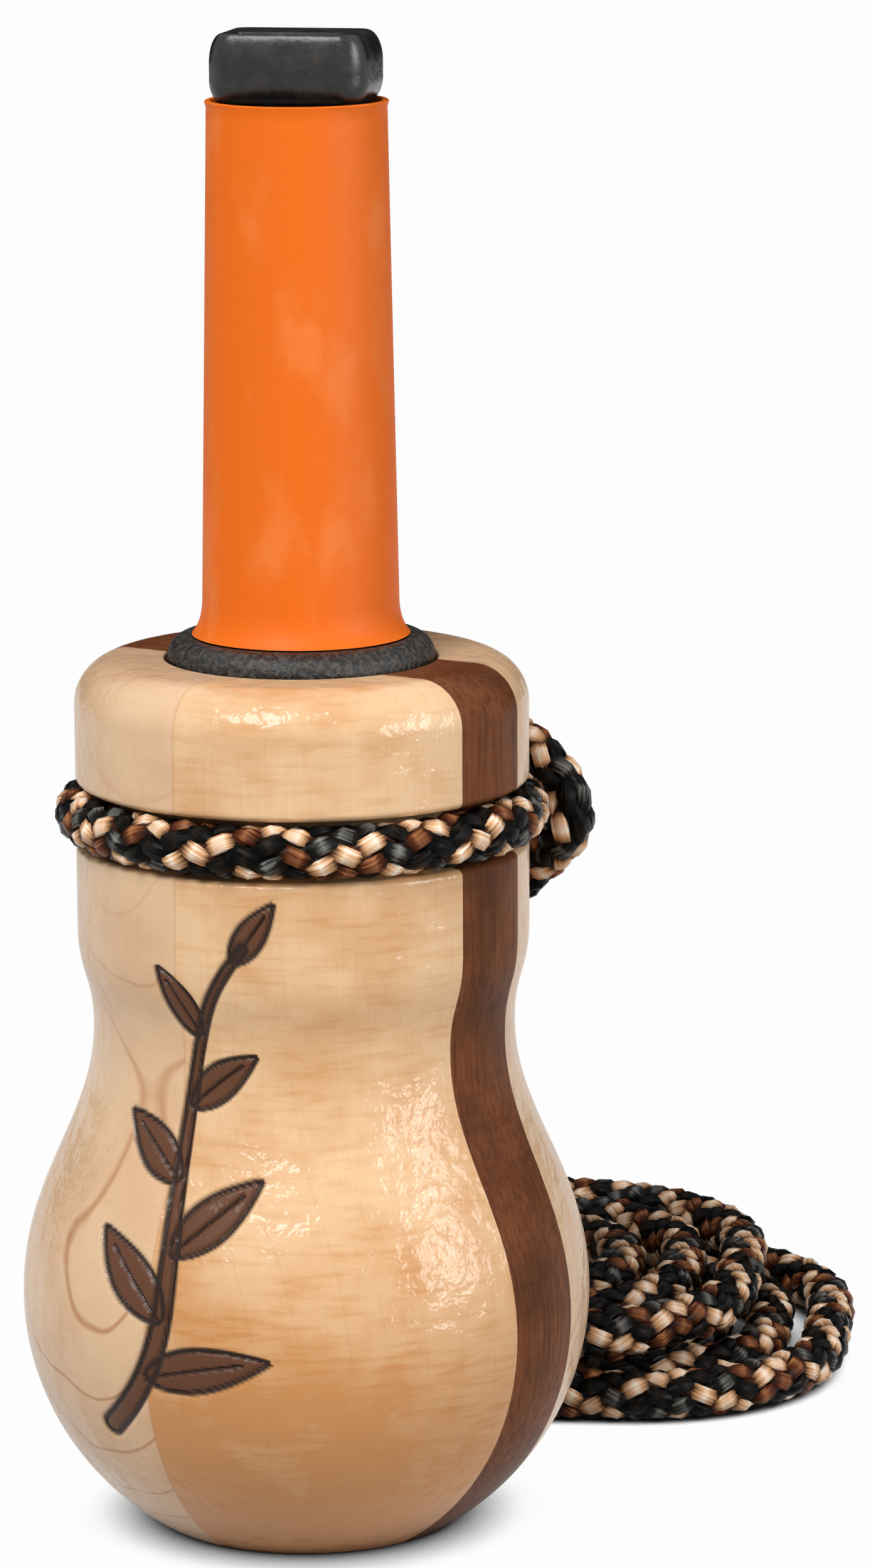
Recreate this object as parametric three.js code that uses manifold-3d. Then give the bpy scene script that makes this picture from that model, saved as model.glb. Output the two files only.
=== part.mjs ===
// Elk call: a turned barrel of glued maple and walnut, a push-in mouthpiece with a reed under a bite
// sleeve, and a braided neck lanyard hitched round the barrel. Millimetres, +Z up, the origin at the
// middle of the base. The glue planes are square to X and Y.

import * as THREE from 'three';
import { mergeVertices } from 'three/addons/utils/BufferGeometryUtils.js';
import Module from 'manifold-3d';

const wasm = await Module();
wasm.setup();

// Barrel, outside
const BARREL_HEIGHT = 77.6;
const BARREL_RADIUS = 19.9;
const SHOULDER_RADIUS = 4;
const BASE_RADIUS = 13.6;
const BULB_RADIUS = 25.2;
const BULB_HEIGHT = 20.5;
const BULB_SWEEP = 10.5;
const WAIST_RADIUS = 18.6;
const WAIST_HEIGHT = 45;
const WAIST_SWEEP = 9;
const WAIST_RISE = 9;

// Barrel, inside
const CHAMBER_RADIUS = 9.5;
const CHAMBER_DEPTH = 36;
const MOUTH_CHAMFER = 0.8;
const STRIP_THICKNESS = 9;

// Mouthpiece: a 5/8 inch stem in its bore, with two seals
const STEM_RADIUS = 7.95;
const STEM_CLEARANCE = 0.25;
const STEM_BORE_RADIUS = 4.75;
const STEM_INSERTION = 22;
const STEM_STANDOFF = 14.4;
const SEAL_THICKNESS = 1.8;
const SEAL_BORE_GAP = 0.12;
const SEAL_GROOVE_PLAY = 0.2;
const SEAL_FIRST = 4.5;
const SEAL_SPACING = 9;

// Ring, half sunk in a seat in the barrel's top face, and bite sleeve over the stem
const RING_SECTION = 3.6;
const RING_MIDDLE_RADIUS = 9.9;
const RING_RISE = 0.15;
const RING_FLAT = 0.25;
const SEAT_GAP = 0.1;
const SEAT_CLEARANCE = 0.3;
const SEAT_DRAFT = 0.15;
const SLEEVE_WALL = 0.6;
const SLEEVE_FIT = 0.05;
const SLEEVE_LENGTH = 46.4;
const SLEEVE_TOP_RADIUS = 7.8;
const SLEEVE_RIM = 0.15;
const SLEEVE_FLARE = 0.95;
const SLEEVE_FLARE_HEIGHT = 3.2;

// Tone board, reed and wedge
const BOARD_RADIUS = 6.7;
const BOARD_FACE = 1.5;
const BOARD_LENGTH = 28.4;
const BOARD_RELIEF = 1.5;
const BOARD_ROOT = 8;
const BOARD_FIT = 0.1;
const CHANNEL_WIDTH = 4.6;
const CHANNEL_DEPTH = 3.4;
const CHANNEL_CLOSED_END = 4;
const REED_WIDTH = 8;
const REED_THICKNESS = 0.35;
const REED_GAP = 0.15;
const REED_GRIP = 3;
const REED_FREE_LENGTH = 26.5;

// Tip block, with its bevelled foot sunk a little in the mouth of the sleeve
const TIP_WIDTH = 13.9;
const TIP_DEPTH = 10.6;
const TIP_HEIGHT = 6.2;
const TIP_SINK = 0.3;
const TIP_CORNER = 1.8;
const TIP_BEVEL = 1.3;
const TIP_TOP_EASE = 1.3;
const TIP_PLUG_LENGTH = 4;
const TIP_PLUG_SHOULDER = 0.3;
const TIP_SLOT_WIDTH = 9;
const TIP_SLOT_GAP = 2.2;
const TIP_SLOT_FORWARD = 3.2;

// Lanyard cord, its groove and its coil
const CORD_DIAMETER = 4.7;
const GROOVE_HEIGHT = 64;
const GROOVE_SINK = 0.45;
const GROOVE_CLEARANCE = 0.3;
const GROOVE_LIP = 0.35;
const COIL_TURNS_IN = 2.5;
const COIL_TURNS_OUT = 3;
const COIL_CLIMB = 0.5;
const COIL_RISE_END = 0.6;
const COIL_INNER_RADIUS = 9.8;
const COIL_CORNER = 9.5;
const COIL_CORNER_GROWTH = 0.6;
const COIL_RUN = 16.2;
const COIL_UPPER_RUN = 7.6;
const COIL_PITCH = 5.75;
const COIL_LAYER = 5.6;
const COIL_CENTRE = new THREE.Vector2(18.7, 50.9);
const COIL_END_STEP = 0.004;
const CORD_JOINT_GAP = 0.3;
const FLOOR_GAP = 0.1;

// The groove loop's two ends, in degrees round the lanyard's lie
const LOOP_FROM = 62;
const LOOP_TO = -247;

// Places along the cord in the lanyard's lie: X to the right, Y to the back
const HITCH_POINTS = [
  [-6.8, 18.2, 64], [-5.5, 19.1, 64], [-3.7, 21, 64.4], [-1.2, 22.9, 65.4], [2.4, 23.5, 67.2],
  [6.6, 22.5, 68.8], [11.4, 20.6, 69.4], [16.6, 17.8, 68.4], [20.9, 14.5, 65.9], [23.9, 11.9, 62.4],
  [24.1, 11.8, 60], [22.4, 15, 57], [19.2, 18.6, 53.4],
];
const INNER_LEG_POINTS = [
  [8.7, 17.3, 64], [7.6, 18.2, 63.9], [6.3, 20.2, 63.5], [4.8, 22.9, 62.2], [3.1, 25.3, 59.2],
  [0.9, 26.6, 54.2], [-2.6, 27.3, 47], [-6.6, 27.4, 39.4], [-11, 26.9, 32.2], [-15.6, 26, 25.4],
  [-19.9, 25, 18.8], [-21.7, 24.5, 13], [-20.3, 24.8, 7.8], [-16.6, 25.8, 3.9], [-11.5, 27, 2.5],
];
const OUTER_LEG_POINTS = [
  [18.9, 18.9, 53], [16.4, 21.4, 48.8], [14.6, 24.2, 43], [13.4, 26.4, 37], [12.8, 28, 31],
  [12.4, 28.7, 25], [11.3, 28.5, 19.6], [9.3, 27.5, 14.7], [5.5, 26.3, 10.7],
];

// Turns about the axis: the mouthpiece in its bore, the lanyard's lie, and the coil in that lie
const MOUTHPIECE_TURN = THREE.MathUtils.degToRad(21.6);
const LANYARD_TURN = THREE.MathUtils.degToRad(33.6);
const COIL_TURN = THREE.MathUtils.degToRad(-8);

// Facets
const LATHE_SEGMENTS = 32;
const SECTION_SIDES = 10;
const CORNER_SEGMENTS = 3;
const EASE_STEPS = 3;
const FLARE_STEPS = 4;
const BULB_STEPS = 8;
const RISE_STEPS = 4;
const GROOVE_STEPS = 6;
const SHOULDER_STEPS = 4;
const QUARTER_SEGMENTS = 7;
const QUARTER_BORE_SEGMENTS = 5;
const STRIP_SEGMENTS = 2;
const STRIP_BORE_SEGMENTS = 6;
const CORD_SIDES = 8;
const LOOP_STEPS = 32;
const HITCH_STEPS = 18;
const LEG_STEPS = 16;
const COIL_SIDES = 6;
const COIL_STEPS = 24;
const WELD = 1e-4;

// Places worked out from the sizes above
const CORD_RADIUS = CORD_DIAMETER / 2;
const COIL_FIRST = 1 / COIL_STEPS;
const COIL_LAST = COIL_TURNS_IN + COIL_CLIMB + COIL_TURNS_OUT - WELD;
const STEM_SOCKET_RADIUS = STEM_RADIUS + STEM_CLEARANCE;
const STEM_BOTTOM = BARREL_HEIGHT - STEM_INSERTION;
const STEM_TOP = BARREL_HEIGHT + STEM_STANDOFF;
const RING_MIDDLE_HEIGHT = BARREL_HEIGHT + RING_RISE;
const RING_FOOT = RING_MIDDLE_HEIGHT - RING_SECTION / 2 + RING_FLAT;
const SEAT_FLOOR = RING_FOOT - SEAT_GAP;
const SEAT_RADIUS = RING_MIDDLE_RADIUS + RING_SECTION / 2 + SEAT_CLEARANCE;
const SLEEVE_BOTTOM = RING_MIDDLE_HEIGHT + RING_SECTION / 2 + SEAT_GAP;
const SLEEVE_TOP = SLEEVE_BOTTOM + SLEEVE_LENGTH;
const SLEEVE_FOOT_RADIUS = STEM_RADIUS + SLEEVE_FIT + SLEEVE_WALL;
const GROOVE_MIDDLE_RADIUS = BARREL_RADIUS - GROOVE_SINK;
const GROOVE_RADIUS = CORD_RADIUS + GROOVE_CLEARANCE;

// Solids from lofted rings

/** Joins equal rings of points into one closed body, with a flat cap on each end. */
function loft(rings) {
  const count = rings[0].length;
  const index = [];
  for (let level = 0; level + 1 < rings.length; level += 1) {
    for (let i = 0; i < count; i += 1) {
      const a = level * count + i;
      const b = level * count + (i + 1) % count;
      index.push(a, b, b + count, a, b + count, a + count);
    }
  }
  const last = (rings.length - 1) * count;
  index.push(...capOf(rings[0]).flatMap(([a, b, c]) => [a, c, b]));
  index.push(...capOf(rings.at(-1)).flatMap(([a, b, c]) => [last + a, last + b, last + c]));
  const geometry = new THREE.BufferGeometry().setFromPoints(rings.flat());
  geometry.setIndex(index);
  return facingOut(geometry);
}

/** Triangles of a flat ring, seen along the ring's own normal. */
function capOf(ring) {
  const normal = new THREE.Vector3();
  ring.forEach((p, i) => normal.add(p.clone().cross(ring[(i + 1) % ring.length])));
  const up = new THREE.Vector3(0, 0, 1);
  const turn = new THREE.Quaternion().setFromUnitVectors(normal.normalize(), up);
  const level = ring.map((p) => p.clone().applyQuaternion(turn));
  const flat = level.map((p) => new THREE.Vector2(p.x, p.y));
  return THREE.ShapeUtils.triangulateShape(flat, []);
}

/** Turns a closed body's faces outwards by the sign of its volume. */
function facingOut(geometry) {
  const position = geometry.getAttribute('position');
  const order = geometry.getIndex().array;
  const corner = (i) => new THREE.Vector3().fromBufferAttribute(position, order[i]);
  let volume = 0;
  for (let i = 0; i < order.length; i += 3) {
    volume += corner(i).dot(corner(i + 1).cross(corner(i + 2)));
  }
  if (volume < 0) {
    geometry.setIndex(Array.from(order).reverse());
  }
  return geometry;
}

/** A body turned about Z from a closed outline of [radius, height] points. */
function turned(outline) {
  const points = [...outline, outline[0]].map(([radius, height]) => new THREE.Vector2(radius, height));
  const geometry = new THREE.LatheGeometry(points, LATHE_SEGMENTS).rotateX(Math.PI / 2);
  geometry.deleteAttribute('normal');
  geometry.deleteAttribute('uv');
  return facingOut(mergeVertices(geometry, WELD));
}

/** A round ring's outline, with a flat underneath where flatBelow is given. */
function ringOutline(middleRadius, middleHeight, thickness, flatBelow = -Infinity) {
  const outline = [];
  for (let i = 0; i < SECTION_SIDES; i += 1) {
    const angle = (i + 0.5) / SECTION_SIDES * 2 * Math.PI;
    const height = middleHeight + thickness / 2 * Math.sin(angle);
    outline.push([middleRadius + thickness / 2 * Math.cos(angle), Math.max(height, flatBelow)]);
  }
  return outline;
}

/** A solid for cutting and joining. */
function solid(geometry) {
  const bare = geometry.clone();
  bare.deleteAttribute('normal');
  bare.deleteAttribute('uv');
  const merged = mergeVertices(bare, WELD);
  return new wasm.Manifold(new wasm.Mesh({
    numProp: 3,
    vertProperties: new Float32Array(merged.getAttribute('position').array),
    triVerts: new Uint32Array(merged.getIndex().array),
  }));
}

/** The first body with the second one cut away. */
function cut(body, tool) {
  const mesh = solid(body).subtract(solid(tool)).getMesh();
  const geometry = new THREE.BufferGeometry();
  geometry.setAttribute('position', new THREE.Float32BufferAttribute(mesh.vertProperties, 3));
  geometry.setIndex(Array.from(mesh.triVerts));
  return geometry;
}

/** A box between two corners. */
function boxBetween(low, high) {
  const size = new THREE.Vector3().subVectors(high, low);
  const middle = new THREE.Vector3().addVectors(low, high).multiplyScalar(0.5);
  return new THREE.BoxGeometry(size.x, size.y, size.z).translate(middle.x, middle.y, middle.z);
}

// Barrel: one turned outline, cut by the glue planes into four quarters and two halves of a strip

/** Points of the turned outside, from the base to the top face, as Vector2(radius, height). */
function barrelOutline() {
  const lowerHalf = BULB_HEIGHT / Math.sqrt(1 - (BASE_RADIUS / BULB_RADIUS) ** 2);
  const start = Math.asin(BULB_HEIGHT / lowerHalf);
  const lower = new THREE.EllipseCurve(0, BULB_HEIGHT, BULB_RADIUS, lowerHalf, -start, 0);
  const bulbTop = new THREE.CubicBezierCurve(
    new THREE.Vector2(BULB_RADIUS, BULB_HEIGHT),
    new THREE.Vector2(BULB_RADIUS, BULB_HEIGHT + BULB_SWEEP),
    new THREE.Vector2(WAIST_RADIUS, WAIST_HEIGHT - WAIST_SWEEP),
    new THREE.Vector2(WAIST_RADIUS, WAIST_HEIGHT),
  );
  const barrelStart = WAIST_HEIGHT + WAIST_RISE;
  const rise = new THREE.CubicBezierCurve(
    new THREE.Vector2(WAIST_RADIUS, WAIST_HEIGHT),
    new THREE.Vector2(WAIST_RADIUS, WAIST_HEIGHT + WAIST_RISE / 2),
    new THREE.Vector2(BARREL_RADIUS, barrelStart - WAIST_RISE / 2),
    new THREE.Vector2(BARREL_RADIUS, barrelStart),
  );
  const groove = new THREE.EllipseCurve(
    GROOVE_MIDDLE_RADIUS, GROOVE_HEIGHT, GROOVE_RADIUS, GROOVE_RADIUS, -Math.PI / 2, Math.PI / 2, true,
  );
  const shoulder = new THREE.EllipseCurve(
    BARREL_RADIUS - SHOULDER_RADIUS, BARREL_HEIGHT - SHOULDER_RADIUS,
    SHOULDER_RADIUS, SHOULDER_RADIUS, 0, Math.PI / 2,
  );
  return [
    ...lower.getPoints(BULB_STEPS),
    ...bulbTop.getPoints(BULB_STEPS).slice(1),
    ...rise.getPoints(RISE_STEPS).slice(1),
    new THREE.Vector2(BARREL_RADIUS, GROOVE_HEIGHT - GROOVE_RADIUS - GROOVE_LIP),
    ...groove.getPoints(GROOVE_STEPS),
    new THREE.Vector2(BARREL_RADIUS, GROOVE_HEIGHT + GROOVE_RADIUS + GROOVE_LIP),
    ...shoulder.getPoints(SHOULDER_STEPS),
  ];
}

/** Points of the bore, from the mouth in the base up to the ring's seat in the top face. */
function boreOutline() {
  const step = CHAMBER_RADIUS - STEM_SOCKET_RADIUS;
  return [
    new THREE.Vector2(CHAMBER_RADIUS + MOUTH_CHAMFER, 0),
    new THREE.Vector2(CHAMBER_RADIUS, MOUTH_CHAMFER),
    new THREE.Vector2(CHAMBER_RADIUS, CHAMBER_DEPTH),
    new THREE.Vector2(STEM_SOCKET_RADIUS, CHAMBER_DEPTH + step),
    new THREE.Vector2(STEM_SOCKET_RADIUS, SEAT_FLOOR - SEAT_DRAFT),
    new THREE.Vector2(SEAT_RADIUS - SEAT_DRAFT, SEAT_FLOOR),
    new THREE.Vector2(SEAT_RADIUS, BARREL_HEIGHT),
  ];
}

/** The radius of an outline at a height, straight between its points. */
function radiusAt(outline, height) {
  const upper = Math.max(1, outline.findIndex((p) => p.y >= height));
  const [from, to] = [outline[upper - 1], outline[upper]];
  const share = to.y > from.y ? (height - from.y) / (to.y - from.y) : 0;
  return from.x + (to.x - from.x) * share;
}

/** Every height at which either outline has a corner, with both radii there. */
function barrelLevels() {
  const outside = barrelOutline();
  const bore = boreOutline();
  const heights = [...outside, ...bore].map((p) => p.y).sort((a, b) => a - b);
  const levels = heights.filter((height, i) => i === 0 || height - heights[i - 1] > 1e-3);
  return levels.map((height) => ({
    height,
    outer: radiusAt(outside, height),
    inner: radiusAt(bore, height),
  }));
}

/** Points of an arc about the axis, from one angle to another. */
function arcPoints(radius, from, to, segments, height) {
  const points = [];
  for (let i = 0; i <= segments; i += 1) {
    const angle = from + (to - from) * i / segments;
    points.push(new THREE.Vector3(radius * Math.cos(angle), radius * Math.sin(angle), height));
  }
  return points;
}

/** A quarter block, in the quadrant that the signs of X and Y name. */
function quarterBlock(signX, signY) {
  const half = STRIP_THICKNESS / 2;
  const rings = barrelLevels().map(({ height, outer, inner }) => {
    const outside = arcPoints(outer, Math.asin(half / outer), Math.PI / 2, QUARTER_SEGMENTS, height);
    const inside = arcPoints(inner, Math.PI / 2, Math.asin(half / inner), QUARTER_BORE_SEGMENTS, height);
    outside[0].y = half;
    inside.at(-1).y = half;
    outside.at(-1).x = 0;
    inside[0].x = 0;
    return [...outside, ...inside].map((p) => new THREE.Vector3(signX * p.x, signY * p.y, p.z));
  });
  return loft(rings);
}

/** Half of the walnut strip, on the side that the sign of X names. */
function stripHalf(signX) {
  const half = STRIP_THICKNESS / 2;
  const rings = barrelLevels().map(({ height, outer, inner }) => {
    const outerAngle = Math.asin(half / outer);
    const innerAngle = Math.asin(half / inner);
    const outside = arcPoints(outer, -outerAngle, outerAngle, STRIP_SEGMENTS, height);
    const inside = arcPoints(inner, innerAngle, -innerAngle, STRIP_BORE_SEGMENTS, height);
    outside[0].y = -half;
    inside.at(-1).y = -half;
    outside.at(-1).y = half;
    inside[0].y = half;
    return [...outside, ...inside].map((p) => new THREE.Vector3(signX * p.x, p.y, p.z));
  });
  return loft(rings);
}

// Mouthpiece, with its front towards -Y before it is turned in the bore

/** Outside radius of the sleeve's straight taper at a height. */
function sleeveRadius(height) {
  const foot = SLEEVE_BOTTOM + SLEEVE_FLARE_HEIGHT;
  const share = (height - foot) / (SLEEVE_TOP - foot);
  return SLEEVE_FOOT_RADIUS + (SLEEVE_TOP_RADIUS - SLEEVE_FOOT_RADIUS) * share;
}

/** Bite sleeve: a thin tapered tube, flared over the ring and with a fine rim at its mouth. */
function sleeveBody() {
  const foot = SLEEVE_BOTTOM + SLEEVE_FLARE_HEIGHT;
  const flare = new THREE.QuadraticBezierCurve(
    new THREE.Vector2(SLEEVE_FOOT_RADIUS + SLEEVE_FLARE, SLEEVE_BOTTOM),
    new THREE.Vector2(SLEEVE_FOOT_RADIUS, SLEEVE_BOTTOM + SLEEVE_FLARE_HEIGHT / 3),
    new THREE.Vector2(SLEEVE_FOOT_RADIUS, foot),
  );
  const rimFoot = SLEEVE_TOP - SLEEVE_WALL;
  const outside = [
    ...flare.getPoints(FLARE_STEPS).map((p) => [p.x, p.y]),
    [sleeveRadius(rimFoot), rimFoot],
    [SLEEVE_TOP_RADIUS + SLEEVE_RIM, SLEEVE_TOP],
  ];
  const inside = outside.map(([radius, height]) => [radius - SLEEVE_WALL, height]).reverse();
  return turned([...outside, ...inside]);
}

/** Heights of the two seal grooves, from the bottom one. */
function sealHeights() {
  const first = STEM_BOTTOM + SEAL_FIRST;
  return [first, first + SEAL_SPACING];
}

/** Stem: a 5/8 inch tube with two seal grooves, tapered under the sleeve. */
function stemBody() {
  const grooveFloor = STEM_SOCKET_RADIUS - SEAL_BORE_GAP - SEAL_THICKNESS - SEAL_GROOVE_PLAY;
  const grooveHalf = SEAL_THICKNESS / 2 + SEAL_GROOVE_PLAY;
  const grooves = sealHeights().flatMap((height) => [
    [STEM_RADIUS, height - grooveHalf],
    [grooveFloor, height - grooveHalf],
    [grooveFloor, height + grooveHalf],
    [STEM_RADIUS, height + grooveHalf],
  ]);
  return turned([
    [STEM_BORE_RADIUS, STEM_BOTTOM],
    [STEM_RADIUS, STEM_BOTTOM],
    ...grooves,
    [STEM_RADIUS, SLEEVE_BOTTOM + SLEEVE_FLARE_HEIGHT],
    [sleeveRadius(STEM_TOP) - SLEEVE_WALL - SLEEVE_FIT, STEM_TOP],
    [STEM_BORE_RADIUS, STEM_TOP],
  ]);
}

/** A ring of points of a D section: a chord across Y and the arc on the side that the sign names. */
function sectionOfD(radius, chord, side, height) {
  const start = Math.asin(chord / radius);
  return arcPoints(radius, start, side > 0 ? Math.PI - start : -Math.PI - start, SECTION_SIDES, height);
}

/** Tone board: a D-shaped bar whose face falls away from the reed, with a channel into the stem. */
function toneBoardBody() {
  const rootRadius = STEM_BORE_RADIUS - BOARD_FIT;
  const neck = STEM_TOP + BOARD_RADIUS - rootRadius;
  const top = STEM_TOP + BOARD_LENGTH;
  const bar = loft([
    sectionOfD(rootRadius, -BOARD_FACE, 1, STEM_TOP - BOARD_ROOT),
    sectionOfD(rootRadius, -BOARD_FACE, 1, STEM_TOP),
    sectionOfD(BOARD_RADIUS, -BOARD_FACE + BOARD_RELIEF * (neck - STEM_TOP) / BOARD_LENGTH, 1, neck),
    sectionOfD(BOARD_RADIUS, -BOARD_FACE + BOARD_RELIEF, 1, top),
  ]);
  const beyond = CHANNEL_DEPTH;
  return cut(bar, boxBetween(
    new THREE.Vector3(-CHANNEL_WIDTH / 2, -BOARD_FACE - beyond, STEM_TOP - BOARD_ROOT - beyond),
    new THREE.Vector3(CHANNEL_WIDTH / 2, -BOARD_FACE + CHANNEL_DEPTH, top - CHANNEL_CLOSED_END),
  ));
}

/** Wedge: the D-shaped key that grips the reed's root against the board, inside the stem. */
function wedgeBody() {
  const radius = STEM_BORE_RADIUS - BOARD_FIT;
  const face = -BOARD_FACE - REED_THICKNESS - 2 * REED_GAP;
  return loft([
    sectionOfD(radius, face, -1, STEM_TOP - BOARD_ROOT),
    sectionOfD(radius, face, -1, STEM_TOP - REED_GAP),
  ]);
}

/** Reed: a thin strip with a round free end, just in front of the board. */
function reedBody() {
  const bottom = STEM_TOP - REED_GRIP;
  const half = REED_WIDTH / 2;
  const outline = new THREE.Shape();
  outline.moveTo(-half, bottom);
  outline.lineTo(half, bottom);
  outline.lineTo(half, STEM_TOP + REED_FREE_LENGTH - half);
  outline.absarc(0, STEM_TOP + REED_FREE_LENGTH - half, half, 0, Math.PI);
  const geometry = new THREE.ExtrudeGeometry(outline, {
    depth: REED_THICKNESS, bevelEnabled: false, curveSegments: SECTION_SIDES, steps: 1,
  });
  return geometry.rotateX(Math.PI / 2).translate(0, -BOARD_FACE - REED_GAP, 0);
}

/** A ring of points of a rectangle with round corners. */
function roundedRectangle(width, depth, corner, height) {
  const centres = [[1, 1], [-1, 1], [-1, -1], [1, -1]];
  return centres.flatMap(([signX, signY], i) => {
    const middle = new THREE.Vector3(signX * (width / 2 - corner), signY * (depth / 2 - corner), 0);
    const from = i * Math.PI / 2;
    const arc = arcPoints(corner, from, from + Math.PI / 2, CORNER_SEGMENTS, height);
    return arc.map((p) => p.add(middle));
  });
}

/** The plug's round section, with as many points as a rounded rectangle has. */
function plugSection(height) {
  const radius = SLEEVE_TOP_RADIUS - SLEEVE_WALL - BOARD_FIT;
  const count = 4 * (CORNER_SEGMENTS + 1);
  return arcPoints(radius, 0, 2 * Math.PI * (count - 1) / count, count - 1, height);
}

/** A ring of points round the tip block, drawn in from its widest by an inset. */
function tipRing(inset, height) {
  return roundedRectangle(TIP_WIDTH - 2 * inset, TIP_DEPTH - 2 * inset, TIP_CORNER - inset, height);
}

/** Tip: a bevelled block on a round plug, with the blowing slot down through both. */
function tipBody() {
  const bottom = SLEEVE_TOP - TIP_SINK;
  const top = bottom + TIP_HEIGHT;
  const rings = [
    plugSection(SLEEVE_TOP - TIP_PLUG_LENGTH),
    plugSection(bottom - TIP_PLUG_SHOULDER),
    tipRing(TIP_BEVEL, bottom),
    tipRing(0, bottom + TIP_BEVEL),
  ];
  for (let i = 0; i <= EASE_STEPS; i += 1) {
    const angle = i / EASE_STEPS * Math.PI / 2;
    rings.push(tipRing(TIP_TOP_EASE * (1 - Math.cos(angle)), top - TIP_TOP_EASE * (1 - Math.sin(angle))));
  }
  const half = new THREE.Vector3(TIP_SLOT_WIDTH / 2, TIP_SLOT_GAP / 2, 0);
  const low = new THREE.Vector3(0, -TIP_SLOT_FORWARD, bottom - 2 * TIP_PLUG_LENGTH).sub(half);
  const high = new THREE.Vector3(0, -TIP_SLOT_FORWARD, top + TIP_HEIGHT).add(half);
  return cut(loft(rings), boxBetween(low, high));
}

// Lanyard: a loop in the groove, a hitch, two legs behind the barrel and a flat coil on the floor

/** A round cord along a curve. */
function cordAlong(curve, steps) {
  const section = new THREE.Shape();
  section.absarc(0, 0, CORD_RADIUS, 0, 2 * Math.PI);
  const corners = section.getSpacedPoints(CORD_SIDES).slice(0, CORD_SIDES);
  const settings = { steps, bevelEnabled: false, extrudePath: curve };
  return new THREE.ExtrudeGeometry(new THREE.Shape(corners), settings);
}

/** A point round the groove, by its angle in degrees in the lanyard's lie. */
function groovePoint(degrees) {
  const angle = THREE.MathUtils.degToRad(degrees);
  return new THREE.Vector3(
    GROOVE_MIDDLE_RADIUS * Math.cos(angle), GROOVE_MIDDLE_RADIUS * Math.sin(angle), GROOVE_HEIGHT,
  );
}

/** Turns by which the coil has widened: it does so along its long rows, and its ends stay round. */
function coilGrowth(turns) {
  const half = Math.floor(2 * turns);
  return (half + THREE.MathUtils.smoothstep(2 * turns - half, 0, 0.25)) / 2;
}

/** The middle of the coil's cord after so many turns, counted from the near side's left end. */
function coilPoint(turns) {
  const innermost = coilGrowth(COIL_TURNS_IN + COIL_CLIMB / 2);
  const radius = COIL_INNER_RADIUS + COIL_PITCH * Math.abs(coilGrowth(turns) - innermost);
  const climbed = (turns - COIL_TURNS_IN) / COIL_CLIMB;
  const rise = THREE.MathUtils.smoothstep(climbed, 0, COIL_RISE_END);
  const shorter = (COIL_RUN - COIL_UPPER_RUN) * THREE.MathUtils.smoothstep(climbed, 0, 1);
  const place = loopPoint(radius, COIL_RUN - shorter, turns - Math.floor(turns));
  place.x -= shorter / 2;
  place.rotateAround(new THREE.Vector2(), COIL_TURN).add(COIL_CENTRE);
  return new THREE.Vector3(place.x, place.y, FLOOR_GAP + CORD_RADIUS + COIL_LAYER * rise);
}

/** A point on a loop of four sides with round corners, wider at the right, a quarter of the way each. */
function loopPoint(radius, run, share) {
  const quarter = Math.floor(share * 4);
  const along = share * 4 - quarter;
  const long = run / 2 + radius;
  const [reach, offset] = quarter % 2 === 0 ? [long, radius] : [radius, long];
  const wide = COIL_CORNER + COIL_CORNER_GROWTH * (radius - COIL_INNER_RADIUS);
  const corners = [wide, wide, COIL_CORNER, COIL_CORNER];
  const entry = corners[(quarter + 3) % 4];
  const exit = corners[quarter];
  const turn = THREE.MathUtils.mapLinear(along, 0.5, 1, -Math.PI / 2, 0);
  const corner = new THREE.Vector2(Math.cos(turn), Math.sin(turn)).multiplyScalar(exit);
  const place = along < 0.5
    ? new THREE.Vector2(THREE.MathUtils.mapLinear(along, 0, 0.5, entry - reach, reach - exit), -offset)
    : corner.add(new THREE.Vector2(reach - exit, exit - offset));
  return place.rotateAround(new THREE.Vector2(), quarter * Math.PI / 2);
}

/** Points along the coil's middle, a fixed number for each turn. */
function coilPoints(stepsPerTurn) {
  const count = Math.round((COIL_LAST - COIL_FIRST) * stepsPerTurn);
  const turns = (i) => Math.min(COIL_FIRST + i / stepsPerTurn, COIL_LAST);
  return Array.from({ length: count + 1 }, (_, i) => coilPoint(turns(i)));
}

/** The coil's two ends, with the way that the cord runs there. */
function coilEnds() {
  const start = coilPoint(COIL_FIRST);
  const end = coilPoint(COIL_LAST);
  const startWay = coilPoint(COIL_FIRST + COIL_END_STEP).sub(start).normalize();
  const endWay = end.clone().sub(coilPoint(COIL_LAST - COIL_END_STEP)).normalize();
  return { start, startWay, end, endWay };
}

/** The coil as one unbroken tube, with its ends straight for a diameter. */
function coilBody() {
  const { start, startWay, end, endWay } = coilEnds();
  const middle = [
    start.clone().addScaledVector(startWay, -CORD_DIAMETER),
    ...coilPoints(COIL_STEPS),
    end.clone().addScaledVector(endWay, CORD_DIAMETER),
  ];
  const up = new THREE.Vector3(0, 0, 1);
  const rings = middle.map((p, i) => {
    const next = middle[Math.min(i + 1, middle.length - 1)];
    const way = next.clone().sub(middle[Math.max(i - 1, 0)]).normalize();
    const side = way.clone().cross(up).normalize();
    const lift = side.clone().cross(way);
    return Array.from({ length: COIL_SIDES }, (_, k) => {
      const angle = k / COIL_SIDES * 2 * Math.PI;
      return p.clone()
        .addScaledVector(side, CORD_RADIUS * Math.cos(angle))
        .addScaledVector(lift, CORD_RADIUS * Math.sin(angle));
    });
  });
  return loft(rings);
}

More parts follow.
